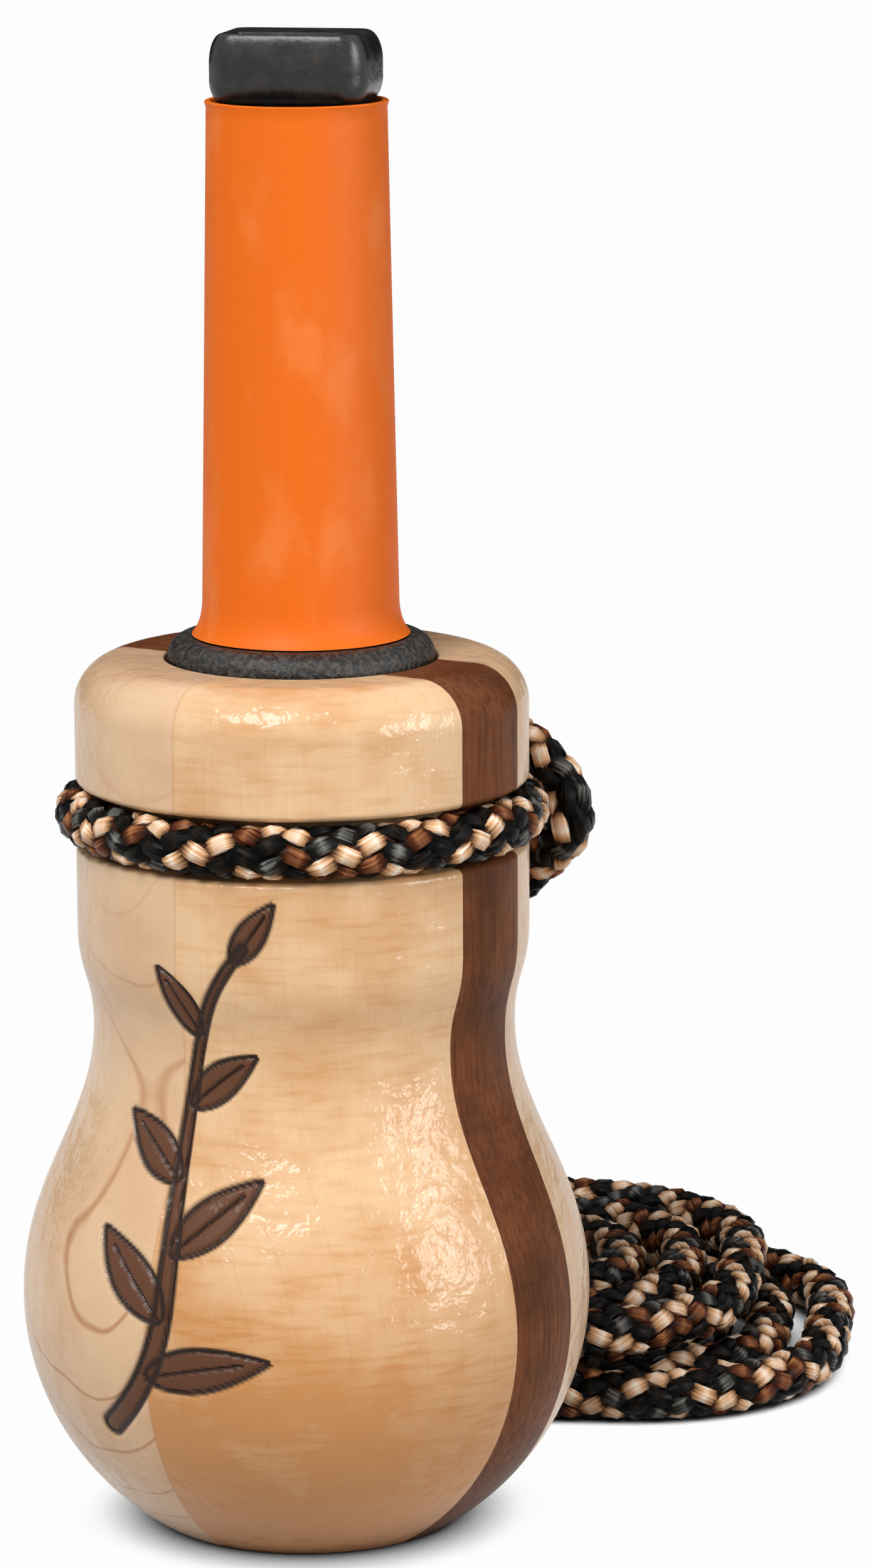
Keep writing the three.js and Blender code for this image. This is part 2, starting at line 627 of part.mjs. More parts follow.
/** The least gap between stretches of the coil that aren't next to each other. */
function leastCoilGap() {
  const points = coilPoints(3 * COIL_STEPS);
  const apart = Math.round(1.5 * COIL_STEPS);
  let least = Infinity;
  for (let i = 0; i < points.length; i += 1) {
    for (let j = i + apart; j < points.length; j += 1) {
      least = Math.min(least, points[i].distanceTo(points[j]));
    }
  }
  return least - CORD_DIAMETER;
}

/** A smooth curve through points of the lanyard's lie. */
function route(points) {
  const places = points.map((p) => (Array.isArray(p) ? new THREE.Vector3(...p) : p));
  return new THREE.CatmullRomCurve3(places, false, 'centripetal');
}

/** The loop in the groove, from its end under the hitch round by the front. */
function grooveLoopBody() {
  const step = (LOOP_TO - LOOP_FROM) / LOOP_STEPS;
  const points = Array.from({ length: LOOP_STEPS + 1 }, (_, i) => groovePoint(LOOP_FROM + step * i));
  return cordAlong(route(points), LOOP_STEPS);
}

/** The hitch, from the loop's far end up over the barrel and round the outside. */
function hitchBody() {
  return cordAlong(route(HITCH_POINTS), HITCH_STEPS);
}

/** The inner leg, from under the hitch down to the coil's start. */
function innerLegBody() {
  const { start, startWay } = coilEnds();
  const gap = CORD_DIAMETER + CORD_JOINT_GAP;
  const last = start.clone().addScaledVector(startWay, -gap);
  const before = last.clone().addScaledVector(startWay, -CORD_DIAMETER);
  return cordAlong(route([...INNER_LEG_POINTS, before, last]), LEG_STEPS);
}

/** The outer leg, from the coil's end up to the hitch. */
function outerLegBody() {
  const { end, endWay } = coilEnds();
  const gap = CORD_DIAMETER + CORD_JOINT_GAP;
  const last = end.clone().addScaledVector(endWay, gap);
  const before = last.clone().addScaledVector(endWay, CORD_DIAMETER);
  return cordAlong(route([...OUTER_LEG_POINTS, before, last]), LEG_STEPS);
}

// Assembly

/** A named piece with its own finish. */
function piece(name, geometry, color, roughness) {
  const mesh = new THREE.Mesh(geometry, new THREE.MeshStandardMaterial({ color, roughness, metalness: 0 }));
  mesh.name = name;
  return mesh;
}

const PALE_MAPLE = 0xe2c49c;
const WARM_MAPLE = 0xd9ab70;
const WALNUT = 0x6b4230;
const BLACK = 0x2b2826;
const CAMOUFLAGE = 0x4a4238;

const call = new THREE.Group();
call.add(
  piece('maple_quarter_front_left', quarterBlock(-1, -1), PALE_MAPLE, 0.25),
  piece('maple_quarter_front_right', quarterBlock(1, -1), WARM_MAPLE, 0.25),
  piece('maple_quarter_rear_left', quarterBlock(-1, 1), PALE_MAPLE, 0.25),
  piece('maple_quarter_rear_right', quarterBlock(1, 1), PALE_MAPLE, 0.25),
  piece('walnut_strip_left', stripHalf(-1), WALNUT, 0.3),
  piece('walnut_strip_right', stripHalf(1), WALNUT, 0.3),
);

const mouthpiece = new THREE.Group();
mouthpiece.rotation.z = MOUTHPIECE_TURN;
const sealMiddle = STEM_SOCKET_RADIUS - SEAL_BORE_GAP - SEAL_THICKNESS / 2;
sealHeights().forEach((height, i) => {
  const outline = ringOutline(sealMiddle, height, SEAL_THICKNESS);
  mouthpiece.add(piece(['stem_seal_lower', 'stem_seal_upper'][i], turned(outline), BLACK, 0.6));
});
const seatedRing = ringOutline(RING_MIDDLE_RADIUS, RING_MIDDLE_HEIGHT, RING_SECTION, RING_FOOT);
mouthpiece.add(
  piece('mouthpiece_stem', stemBody(), BLACK, 0.35),
  piece('base_ring', turned(seatedRing), BLACK, 0.7),
  piece('bite_sleeve', sleeveBody(), 0xee7a24, 0.5),
  piece('tone_board', toneBoardBody(), 0x3a3a3c, 0.35),
  piece('reed_wedge', wedgeBody(), BLACK, 0.6),
  piece('reed', reedBody(), 0xd8d4c4, 0.2),
  piece('mouth_tip', tipBody(), BLACK, 0.3),
);
call.add(mouthpiece);

const lanyard = new THREE.Group();
lanyard.rotation.z = LANYARD_TURN;
lanyard.add(
  piece('lanyard_groove_loop', grooveLoopBody(), CAMOUFLAGE, 0.85),
  piece('lanyard_hitch', hitchBody(), CAMOUFLAGE, 0.85),
  piece('lanyard_leg_inner', innerLegBody(), CAMOUFLAGE, 0.85),
  piece('lanyard_leg_outer', outerLegBody(), CAMOUFLAGE, 0.85),
  piece('lanyard_coil', coilBody(), CAMOUFLAGE, 0.85),
);
call.add(lanyard);

console.log(`lanyard coil: least gap to itself ${leastCoilGap().toFixed(2)} mm`);

export default call;
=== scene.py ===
"""Dresses the elk call, in metres and in the part's own frame.

A turned barrel of glued maple and walnut under lacquer, a mouthpiece with a latex bite sleeve, and a
braided neck lanyard that is hitched in the barrel's groove and lies in a coil behind it.
"""

import logging
import math
from collections.abc import Sequence
from dataclasses import dataclass
from enum import Enum

import bmesh
import bpy
import numpy as np
from mathutils import Matrix, Vector


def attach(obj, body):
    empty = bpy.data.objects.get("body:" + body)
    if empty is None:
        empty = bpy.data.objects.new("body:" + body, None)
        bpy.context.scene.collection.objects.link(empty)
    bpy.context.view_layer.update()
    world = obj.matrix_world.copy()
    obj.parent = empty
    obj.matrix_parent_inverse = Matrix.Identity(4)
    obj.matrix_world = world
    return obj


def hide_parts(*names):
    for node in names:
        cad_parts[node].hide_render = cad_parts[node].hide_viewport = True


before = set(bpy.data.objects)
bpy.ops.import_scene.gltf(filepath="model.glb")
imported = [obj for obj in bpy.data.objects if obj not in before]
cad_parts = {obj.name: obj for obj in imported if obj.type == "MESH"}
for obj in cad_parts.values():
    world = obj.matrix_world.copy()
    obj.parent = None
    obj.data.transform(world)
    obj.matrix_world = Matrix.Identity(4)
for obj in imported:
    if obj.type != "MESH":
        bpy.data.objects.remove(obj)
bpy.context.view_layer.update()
LOG = logging.getLogger("elk_call")
MM = 0.001
ROUNDING = 1e-6  # A smaller difference, in millimetres or in steps, is only rounding

# Helpers for colours, nodes and meshes


def linear(code: str) -> tuple[float, float, float, float]:
    """Turns an sRGB hex code into a linear colour.

    Args:
        code: Six hex digits, such as "e2c49c".

    Returns:
        Red, green, blue and a full alpha, linear.
    """
    shares = [int(code[i : i + 2], 16) / 255 for i in (0, 2, 4)]
    lit = [s / 12.92 if s <= 0.04045 else ((s + 0.055) / 1.055) ** 2.4 for s in shares]
    return (lit[0], lit[1], lit[2], 1.0)


def per_metre(*sizes_mm: float) -> tuple[float, ...]:
    """Scales of a pattern, worked out from its real sizes along each axis in millimetres."""
    return tuple(1 / (size * MM) for size in sizes_mm)


def add(
    tree: bpy.types.NodeTree,
    kind: str,
    inputs: dict[str | int, object] | None = None,
    out: str | int = 0,
    **settings: object,
) -> bpy.types.NodeSocket | None:
    """Adds a node with its settings and links.

    Args:
        tree: The node tree that takes the node.
        kind: The node's Blender type.
        inputs: Values, sockets or lists of sockets, by the input's name or number.
        out: Name or number of the output that is wanted.
        **settings: The node's own properties, set before its inputs.

    Returns:
        The output socket, or None where the node has no output.
    """
    node = tree.nodes.new(kind)
    for name, value in settings.items():
        setattr(node, name, value)
    for name, value in (inputs or {}).items():
        socket = node.inputs[name]
        sources = value if isinstance(value, list) else [value]
        for source in sources:
            if isinstance(source, bpy.types.NodeSocket):
                tree.links.new(source, socket)
            else:
                socket.default_value = source
    return node.outputs[out] if len(node.outputs) else None


def blank_material(name: str) -> tuple[bpy.types.Material, bpy.types.NodeTree]:
    """Makes a material with an empty node tree.

    Args:
        name: The material's common name.

    Returns:
        The material and its tree.
    """
    material = bpy.data.materials.new(name)
    material.use_nodes = True
    material.node_tree.nodes.clear()
    return material, material.node_tree


def arc(
    centre: Sequence[float], radii: Sequence[float], start: float, end: float, step: float
) -> np.ndarray:
    """Points of an elliptical arc.

    Args:
        centre: The ellipse's middle.
        radii: Its two half axes.
        start: First angle in radians.
        end: Last angle in radians.
        step: About the distance between points.

    Returns:
        An array of points, one to a row.
    """
    count = max(2, math.ceil(max(radii) * abs(end - start) / step))
    turn = np.linspace(start, end, count + 1)
    return np.column_stack([centre[0] + radii[0] * np.cos(turn), centre[1] + radii[1] * np.sin(turn)])


def bezier(points: Sequence[Sequence[float]], step: float) -> np.ndarray:
    """Points of a Bezier curve.

    Args:
        points: Its control points.
        step: About the distance between points.

    Returns:
        An array of points, one to a row.
    """
    given = np.array(points, float)
    count = max(2, math.ceil(np.linalg.norm(given[-1] - given[0]) * 1.1 / step))
    share = np.linspace(0, 1, count + 1)[:, None]
    layers = [np.repeat(p[None], count + 1, axis=0) for p in given]
    while len(layers) > 1:
        layers = [a + (b - a) * share for a, b in zip(layers, layers[1:])]
    return layers[0]


def joined(parts: Sequence[np.ndarray], step: float) -> np.ndarray:
    """Joins runs of points, without doubles and with long stretches divided.

    Args:
        parts: The runs, in order.
        step: The longest distance left between neighbours.

    Returns:
        One array of points.
    """
    points = np.vstack(parts)
    far = np.linalg.norm(np.diff(points, axis=0), axis=1)
    points = points[np.concatenate([[True], far > ROUNDING])]
    runs = [points[:1]]
    for a, b in zip(points, points[1:]):
        count = max(1, math.ceil(np.linalg.norm(b - a) / step - ROUNDING))
        share = np.linspace(0, 1, count + 1)[1:, None]
        runs.append(a + (b - a) * share)
    return np.vstack(runs)


def smooth(value: np.ndarray, low: float, high: float) -> np.ndarray:
    """Eases from 0 at low to 1 at high."""
    share = np.clip((value - low) / (high - low), 0, 1)
    return share * share * (3 - 2 * share)


def spun(points: np.ndarray, degrees: float) -> np.ndarray:
    """Points turned about the upright axis."""
    cosine, sine = math.cos(math.radians(degrees)), math.sin(math.radians(degrees))
    return points @ np.array([[cosine, -sine, 0], [sine, cosine, 0], [0, 0, 1]]).T


def grid_faces(rows: int, columns: int, ring_rows: bool, ring_columns: bool) -> list[list[int]]:
    """Quads of a grid of points that is stored row after row.

    Args:
        rows: Number of rows.
        columns: Number of points in a row.
        ring_rows: True where the last row joins the first.
        ring_columns: True where each row is a ring.

    Returns:
        The quads, as lists of point numbers.
    """
    r, c = np.meshgrid(
        np.arange(rows if ring_rows else rows - 1),
        np.arange(columns if ring_columns else columns - 1),
        indexing="ij",
    )
    down, across = (r + 1) % rows, (c + 1) % columns
    corners = [r * columns + c, r * columns + across, down * columns + across, down * columns + c]
    return np.stack(corners, axis=-1).reshape(-1, 4).tolist()


def make_piece(
    name: str,
    points: np.ndarray,
    faces: list[list[int]],
    material: bpy.types.Material,
    sharp_deg: float,
    attributes: dict[str, np.ndarray] | None = None,
) -> bpy.types.Object:
    """Makes a closed mesh object from points in millimetres.

    Args:
        name: The piece's name.
        points: Points, one to a row.
        faces: Faces as lists of point numbers.
        material: Its material.
        sharp_deg: Edges over this angle stay sharp.
        attributes: Numbers for each point, by name.

    Returns:
        The object, at the origin.
    """
    mesh = bpy.data.meshes.new(name)
    mesh.from_pydata((np.asarray(points) * MM).tolist(), [], faces)
    for key, values in (attributes or {}).items():
        layer = mesh.attributes.new(key, "FLOAT", "POINT")
        layer.data.foreach_set("value", np.asarray(values, np.float32))
    work = bmesh.new()
    work.from_mesh(mesh)
    bmesh.ops.recalc_face_normals(work, faces=work.faces)
    work.to_mesh(mesh)
    work.free()
    mesh.shade_smooth()
    mesh.set_sharp_from_angle(angle=math.radians(sharp_deg))
    mesh.materials.append(material)
    piece = bpy.data.objects.new(name, mesh)
    bpy.context.scene.collection.objects.link(piece)
    return piece


def place_piece(piece: bpy.types.Object, body: str, slot: str, *nodes: str) -> None:
    """Puts a piece on its body, in place of CAD nodes, and reports it.

    Args:
        piece: The finished piece.
        body: The body that it rides on.
        slot: The record's material slot; not used.
        *nodes: The CAD nodes that it stands for.
    """
    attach(piece, body)
    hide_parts(*nodes)
    LOG.info("%s: %d faces on %s", piece.name, len(piece.data.polygons), body)


# Finishes


@dataclass(frozen=True)
class LacqueredWood:
    """Turned and sanded hardwood under a wiped lacquer.

    The eye gets thin growth-ring lines where the turning cuts across the layers, short fibres along
    the bore, golden patches, ray flecks, and a clear coat whose highlights have wavering edges.

    Attributes:
        name: The material's name.
        pale: Early wood.
        dark: Patches and flecks.
        line: Late wood lines and pores.
        ring_mm: Spacing of the growth rings.
        ring_share: How strongly their lines show.
        patch_share: How strongly the patches show.
        fleck_share: How strongly the short ray flecks across the grain show.
        foot_shade_share: How strongly a painted shade darkens the wood at its foot.
        fibre_share: How strongly the fibres show.
        lean_deg: Turn of the block's layers.
        shift_mm: Place of the pattern in the log.
        coat: Weight of the lacquer.
        glue_line: True where the block meets its twin on the plane X = 0.
        burned: True where the sprig is burned in it.
        fibre_mm: Size of the fibres, drawn coarse to show: real ones are about 0.03 mm wide.
        wander_mm: Size of the rings' bends.
        wander_rings: How many rings' width the bends reach.
        patch_mm: Size of the patches.
        fleck_mm: Size of the ray flecks, which are long across the grain.
        peel_mm: Size of the lacquer's waves.
        ring_fade_mm: Heights between which the rings fade, as the turning leaves the flat cut.
        foot_shade_mm: Heights from which and to which the painted shade at the foot deepens.
        glue_mm: Half width of the glue line.
        glue_share: How strongly it shows.
        burn_fill: Colour of the burned leaves.
        burn_line: Colour of their outline.
        burn_coat: Weight of the lacquer on the burn.
    """

    name: str
    pale: str
    dark: str
    line: str
    ring_mm: float
    ring_share: float
    patch_share: float
    fleck_share: float
    foot_shade_share: float
    fibre_share: float
    lean_deg: tuple[float, float, float]
    shift_mm: tuple[float, float, float]
    coat: float = 0.5
    glue_line: bool = True
    burned: bool = False
    fibre_mm: tuple[float, float, float] = (0.385, 0.385, 6.67)
    wander_mm: tuple[float, float, float] = (14.3, 14.3, 29.4)
    wander_rings: float = 1.8
    patch_mm: float = 9.09
    fleck_mm: tuple[float, float, float] = (4.35, 4.35, 0.588)
    peel_mm: float = 2.38
    ring_fade_mm: tuple[float, float] = (28.0, 60.0)
    foot_shade_mm: tuple[float, float] = (42.0, 2.0)
    glue_mm: float = 0.22
    glue_share: float = 0.25
    burn_fill: str = "5f3a25"
    burn_line: str = "24120a"
    burn_coat: float = 0.1

    def material(self) -> bpy.types.Material:
        """Builds the node tree.

        Returns:
            The material.
        """
        material, tree = blank_material(self.name)
        place = add(tree, "ShaderNodeTexCoord", out="Object")
        block = add(tree, "ShaderNodeMapping", {
            "Vector": place,
            "Location": tuple(v * MM for v in self.shift_mm),
            "Rotation": tuple(math.radians(v) for v in self.lean_deg),
        })
        colour = self.figure(tree, place, block)
        fibres = add(tree, "ShaderNodeMapping", {
            "Vector": place, "Scale": per_metre(*self.fibre_mm)})
        streak = add(tree, "ShaderNodeTexNoise", {"Vector": fibres, "Scale": 1.0, "Detail": 3.0})
        lift = add(tree, "ShaderNodeMapRange", {
            "Value": streak, "From Min": 0.42, "From Max": 0.75, "To Max": self.fibre_share})
        colour = add(tree, "ShaderNodeMix", {
            0: lift, 6: colour, 7: linear(self.dark)}, 2, data_type="RGBA")
        if self.glue_line:
            colour = self.glue(tree, place, colour)
        coat: bpy.types.NodeSocket | float = self.coat
        if self.burned:
            colour, coat = self.burn(tree, colour)
        rough = add(tree, "ShaderNodeMapRange", {"Value": streak, "To Min": 0.36, "To Max": 0.52})
        grain = add(tree, "ShaderNodeBump", {"Height": streak, "Strength": 0.12, "Distance": 0.2 * MM})
        peel = add(tree, "ShaderNodeTexNoise", {
            "Vector": place, "Scale": per_metre(self.peel_mm)[0], "Detail": 3.0})
        wave = add(tree, "ShaderNodeBump", {"Height": peel, "Strength": 0.7, "Distance": 0.7 * MM})
        surface = add(tree, "ShaderNodeBsdfPrincipled", {
            "Base Color": colour,
            "Roughness": rough,
            "Normal": grain,
            "Coat Normal": wave,
            "Coat Weight": coat,
            "Coat Roughness": 0.11,
            "Coat IOR": 1.48,
            "IOR": 1.5,
            "Specular IOR Level": 0.4 * self.coat,
        })
        add(tree, "ShaderNodeOutputMaterial", {"Surface": surface})
        return material

    def figure(
        self, tree: bpy.types.NodeTree, place: bpy.types.NodeSocket, block: bpy.types.NodeSocket
    ) -> bpy.types.NodeSocket:
        """Adds the growth rings, the patches, the ray flecks and a painted shade that darkens the foot.

        Args:
            tree: The material's tree.
            place: Object coordinates.
            block: The same, turned to the block's layers.

        Returns:
            The wood's colour.
        """
        slow = add(tree, "ShaderNodeMapping", {
            "Vector": block, "Scale": per_metre(*self.wander_mm)})
        wander = add(tree, "ShaderNodeTexNoise", {"Vector": slow, "Scale": 1.0, "Detail": 1.5})
        across = add(tree, "ShaderNodeSeparateXYZ", {"Vector": block}, "X")
        count = add(tree, "ShaderNodeMath", {
            0: across, 1: per_metre(self.ring_mm)[0]}, operation="MULTIPLY")
        drift = add(tree, "ShaderNodeMath", {
            0: wander, 1: self.wander_rings, 2: count}, operation="MULTIPLY_ADD")
        saw = add(tree, "ShaderNodeMath", {0: drift}, operation="FRACT")
        away = add(tree, "ShaderNodeMath", {0: saw, 1: 0.5}, operation="SUBTRACT")
        edge = add(tree, "ShaderNodeMath", {0: away}, operation="ABSOLUTE")
        # Late wood takes a tenth of each ring, at its edge
        late = add(tree, "ShaderNodeMapRange", {
            "Value": edge, "From Min": 0.45, "From Max": 0.5}, interpolation_type="SMOOTHSTEP")
        up = add(tree, "ShaderNodeSeparateXYZ", {"Vector": place}, "Z")
        # The rings are cut flat, and so show, low on the bulb
        fade_from, fade_to = self.ring_fade_mm
        flat = add(tree, "ShaderNodeMapRange", {
            "Value": up, "From Min": fade_from * MM, "From Max": fade_to * MM,
            "To Min": self.ring_share, "To Max": self.ring_share / 5})
        late = add(tree, "ShaderNodeMath", {0: late, 1: flat}, operation="MULTIPLY")
        cloud = add(tree, "ShaderNodeTexNoise", {
            "Vector": place, "Scale": per_metre(self.patch_mm)[0], "Detail": 4.0})
        patch = add(tree, "ShaderNodeMapRange", {
            "Value": cloud, "From Min": 0.38, "From Max": 0.66, "To Max": self.patch_share},
            interpolation_type="SMOOTHSTEP")
        level = add(tree, "ShaderNodeMapping", {
            "Vector": place, "Scale": per_metre(*self.fleck_mm)})
        rays = add(tree, "ShaderNodeTexNoise", {"Vector": level, "Scale": 1.0, "Detail": 3.0})
        fleck = add(tree, "ShaderNodeMapRange", {
            "Value": rays, "From Min": 0.48, "From Max": 0.72, "To Max": self.fleck_share})
        # Painted shade: the wood darkens towards its foot, where less light reaches it
        foot_from, foot_to = self.foot_shade_mm
        foot = add(tree, "ShaderNodeMapRange", {
            "Value": up, "From Min": foot_from * MM, "From Max": foot_to * MM,
            "To Max": self.foot_shade_share}, interpolation_type="SMOOTHSTEP")
        both = add(tree, "ShaderNodeMath", {0: patch, 1: fleck}, operation="ADD")
        both = add(tree, "ShaderNodeMath", {0: both, 1: foot}, operation="ADD", use_clamp=True)
        ground = add(tree, "ShaderNodeMix", {
            0: both, 6: linear(self.pale), 7: linear(self.dark)}, 2, data_type="RGBA")
        return add(tree, "ShaderNodeMix", {
            0: late, 6: ground, 7: linear(self.line)}, 2, data_type="RGBA")

    def glue(
        self, tree: bpy.types.NodeTree, place: bpy.types.NodeSocket, colour: bpy.types.NodeSocket
    ) -> bpy.types.NodeSocket:
        """Darkens a hair line where two maple blocks are glued.

        Args:
            tree: The material's tree.
            place: Object coordinates.
            colour: The wood's colour.

        Returns:
            The colour with the glue line.
        """
        side = add(tree, "ShaderNodeSeparateXYZ", {"Vector": place}, "X")
        near = add(tree, "ShaderNodeMath", {0: side}, operation="ABSOLUTE")
        hair = add(tree, "ShaderNodeMapRange", {
            "Value": near, "From Max": self.glue_mm * MM, "To Min": self.glue_share, "To Max": 0.0})
        return add(tree, "ShaderNodeMix", {
            0: hair, 6: colour, 7: linear(self.line)}, 2, data_type="RGBA")

    def burn(
        self, tree: bpy.types.NodeTree, colour: bpy.types.NodeSocket
    ) -> tuple[bpy.types.NodeSocket, bpy.types.NodeSocket]:
        """Browns and dulls the wood where the sprig is burned in.

        Args:
            tree: The material's tree.
            colour: The wood's colour.

        Returns:
            The colour with the burn, and the lacquer's weight.
        """
        fill = add(tree, "ShaderNodeAttribute", out="Fac", attribute_name="burn_fill")
        line = add(tree, "ShaderNodeAttribute", out="Fac", attribute_name="burn_line")
        brown = add(tree, "ShaderNodeMix", {
            0: fill, 6: colour, 7: linear(self.burn_fill)}, 2, data_type="RGBA")
        charred = add(tree, "ShaderNodeMath", {0: fill, 1: line}, operation="MAXIMUM")
        coat = add(tree, "ShaderNodeMapRange", {
            "Value": charred, "To Min": self.coat, "To Max": self.burn_coat})
        dark = add(tree, "ShaderNodeMix", {
            0: line, 6: brown, 7: linear(self.burn_line)}, 2, data_type="RGBA")
        return dark, coat


@dataclass(frozen=True)
class DippedLatex:
    """Stretched latex tube: an even satin skin with paler clouds where it has thinned.

    Attributes:
        name: The material's name.
        colour: The full skin.
        thin: The clouds.
        cloud_mm: Size of the clouds, drawn out along the sleeve.
        skin_mm: Size of the skin's fine waves.
    """

    name: str = "dipped_latex_orange"
    colour: str = "e66a10"
    thin: str = "f2985a"
    cloud_mm: tuple[float, float, float] = (4.76, 4.76, 9.09)
    skin_mm: float = 1.11

    def material(self) -> bpy.types.Material:
        """Builds the node tree.

        Returns:
            The material.
        """
        material, tree = blank_material(self.name)
        place = add(tree, "ShaderNodeTexCoord", out="Object")
        drawn = add(tree, "ShaderNodeMapping", {
            "Vector": place, "Scale": per_metre(*self.cloud_mm)})
        cloud = add(tree, "ShaderNodeTexNoise", {"Vector": drawn, "Scale": 1.0, "Detail": 5.0})
        share = add(tree, "ShaderNodeMapRange", {
            "Value": cloud, "From Min": 0.5, "From Max": 0.75, "To Max": 0.3},
            interpolation_type="SMOOTHSTEP")
        colour = add(tree, "ShaderNodeMix", {
            0: share, 6: linear(self.colour), 7: linear(self.thin)}, 2, data_type="RGBA")
        rough = add(tree, "ShaderNodeMapRange", {"Value": cloud, "To Min": 0.45, "To Max": 0.65})
        fine = add(tree, "ShaderNodeTexNoise", {
            "Vector": place, "Scale": per_metre(self.skin_mm)[0], "Detail": 3.0})
        skin = add(tree, "ShaderNodeBump", {"Height": fine, "Strength": 0.15, "Distance": 0.3 * MM})
        surface = add(tree, "ShaderNodeBsdfPrincipled", {
            "Base Color": colour, "Roughness": rough, "Normal": skin, "IOR": 1.52,
            "Specular IOR Level": 0.2})
        add(tree, "ShaderNodeOutputMaterial", {"Surface": surface})
        return material


@dataclass(frozen=True)
class MouldedBlack:
    """Moulded black rubber or plastic: fine pits, a grey bloom of handling, its own gloss.

    Attributes:
        name: The material's name.
        colour: Its colour.
        bloom: Colour of the bloom.
        bloom_share: How strongly the bloom shows.
        roughness: Least and greatest roughness.
        pit_mm: Size of the pits, drawn coarser than the real grit of a mould so that they show.
        pit_strength: How strongly they catch the light.
    """

    name: str
    colour: str
    bloom: str
    bloom_share: float
    roughness: tuple[float, float]
    pit_mm: float
    pit_strength: float

    def material(self) -> bpy.types.Material:
        """Builds the node tree.

        Returns:
            The material.
        """
        material, tree = blank_material(self.name)
        place = add(tree, "ShaderNodeTexCoord", out="Object")
        pits = add(tree, "ShaderNodeTexNoise", {
            "Vector": place, "Scale": per_metre(self.pit_mm)[0], "Detail": 4.0, "Roughness": 0.6})
        share = add(tree, "ShaderNodeMapRange", {
            "Value": pits, "From Min": 0.45, "From Max": 0.75, "To Max": self.bloom_share})
        colour = add(tree, "ShaderNodeMix", {
            0: share, 6: linear(self.colour), 7: linear(self.bloom)}, 2, data_type="RGBA")
        rough = add(tree, "ShaderNodeMapRange", {
            "Value": pits, "To Min": self.roughness[0], "To Max": self.roughness[1]})
        skin = add(tree, "ShaderNodeBump", {
            "Height": pits, "Strength": self.pit_strength, "Distance": 0.3 * MM})
        surface = add(tree, "ShaderNodeBsdfPrincipled", {
            "Base Color": colour, "Roughness": rough, "Normal": skin, "IOR": 1.52,
            "Specular IOR Level": 0.35})
        add(tree, "ShaderNodeOutputMaterial", {"Surface": surface})
        return material


@dataclass(frozen=True)
class PolyesterFilm:
    """Cut polyester film: a cream sheet with faint drawing lines and a clean shine.

    Attributes:
        name: The material's name.
        colour: The sheet.
        line: The drawing lines.
        line_mm: Size of the lines, coarser than real ones so that they show.
    """

    name: str = "polyester_film_cream"
    colour: str = "d8d4c4"
    line: str = "b9b39d"
    line_mm: tuple[float, float, float] = (0.4, 0.4, 11.1)

    def material(self) -> bpy.types.Material:
        """Builds the node tree.

        Returns:
            The material.
        """
        material, tree = blank_material(self.name)
        place = add(tree, "ShaderNodeTexCoord", out="Object")
        drawn = add(tree, "ShaderNodeMapping", {
            "Vector": place, "Scale": per_metre(*self.line_mm)})
        lines = add(tree, "ShaderNodeTexNoise", {"Vector": drawn, "Scale": 1.0, "Detail": 2.0})
        colour = add(tree, "ShaderNodeMix", {
            0: lines, 6: linear(self.colour), 7: linear(self.line)}, 2, data_type="RGBA")
        rough = add(tree, "ShaderNodeMapRange", {"Value": lines, "To Min": 0.15, "To Max": 0.3})
        surface = add(tree, "ShaderNodeBsdfPrincipled", {
            "Base Color": colour, "Roughness": rough, "IOR": 1.6})
        add(tree, "ShaderNodeOutputMaterial", {"Surface": surface})
        return material


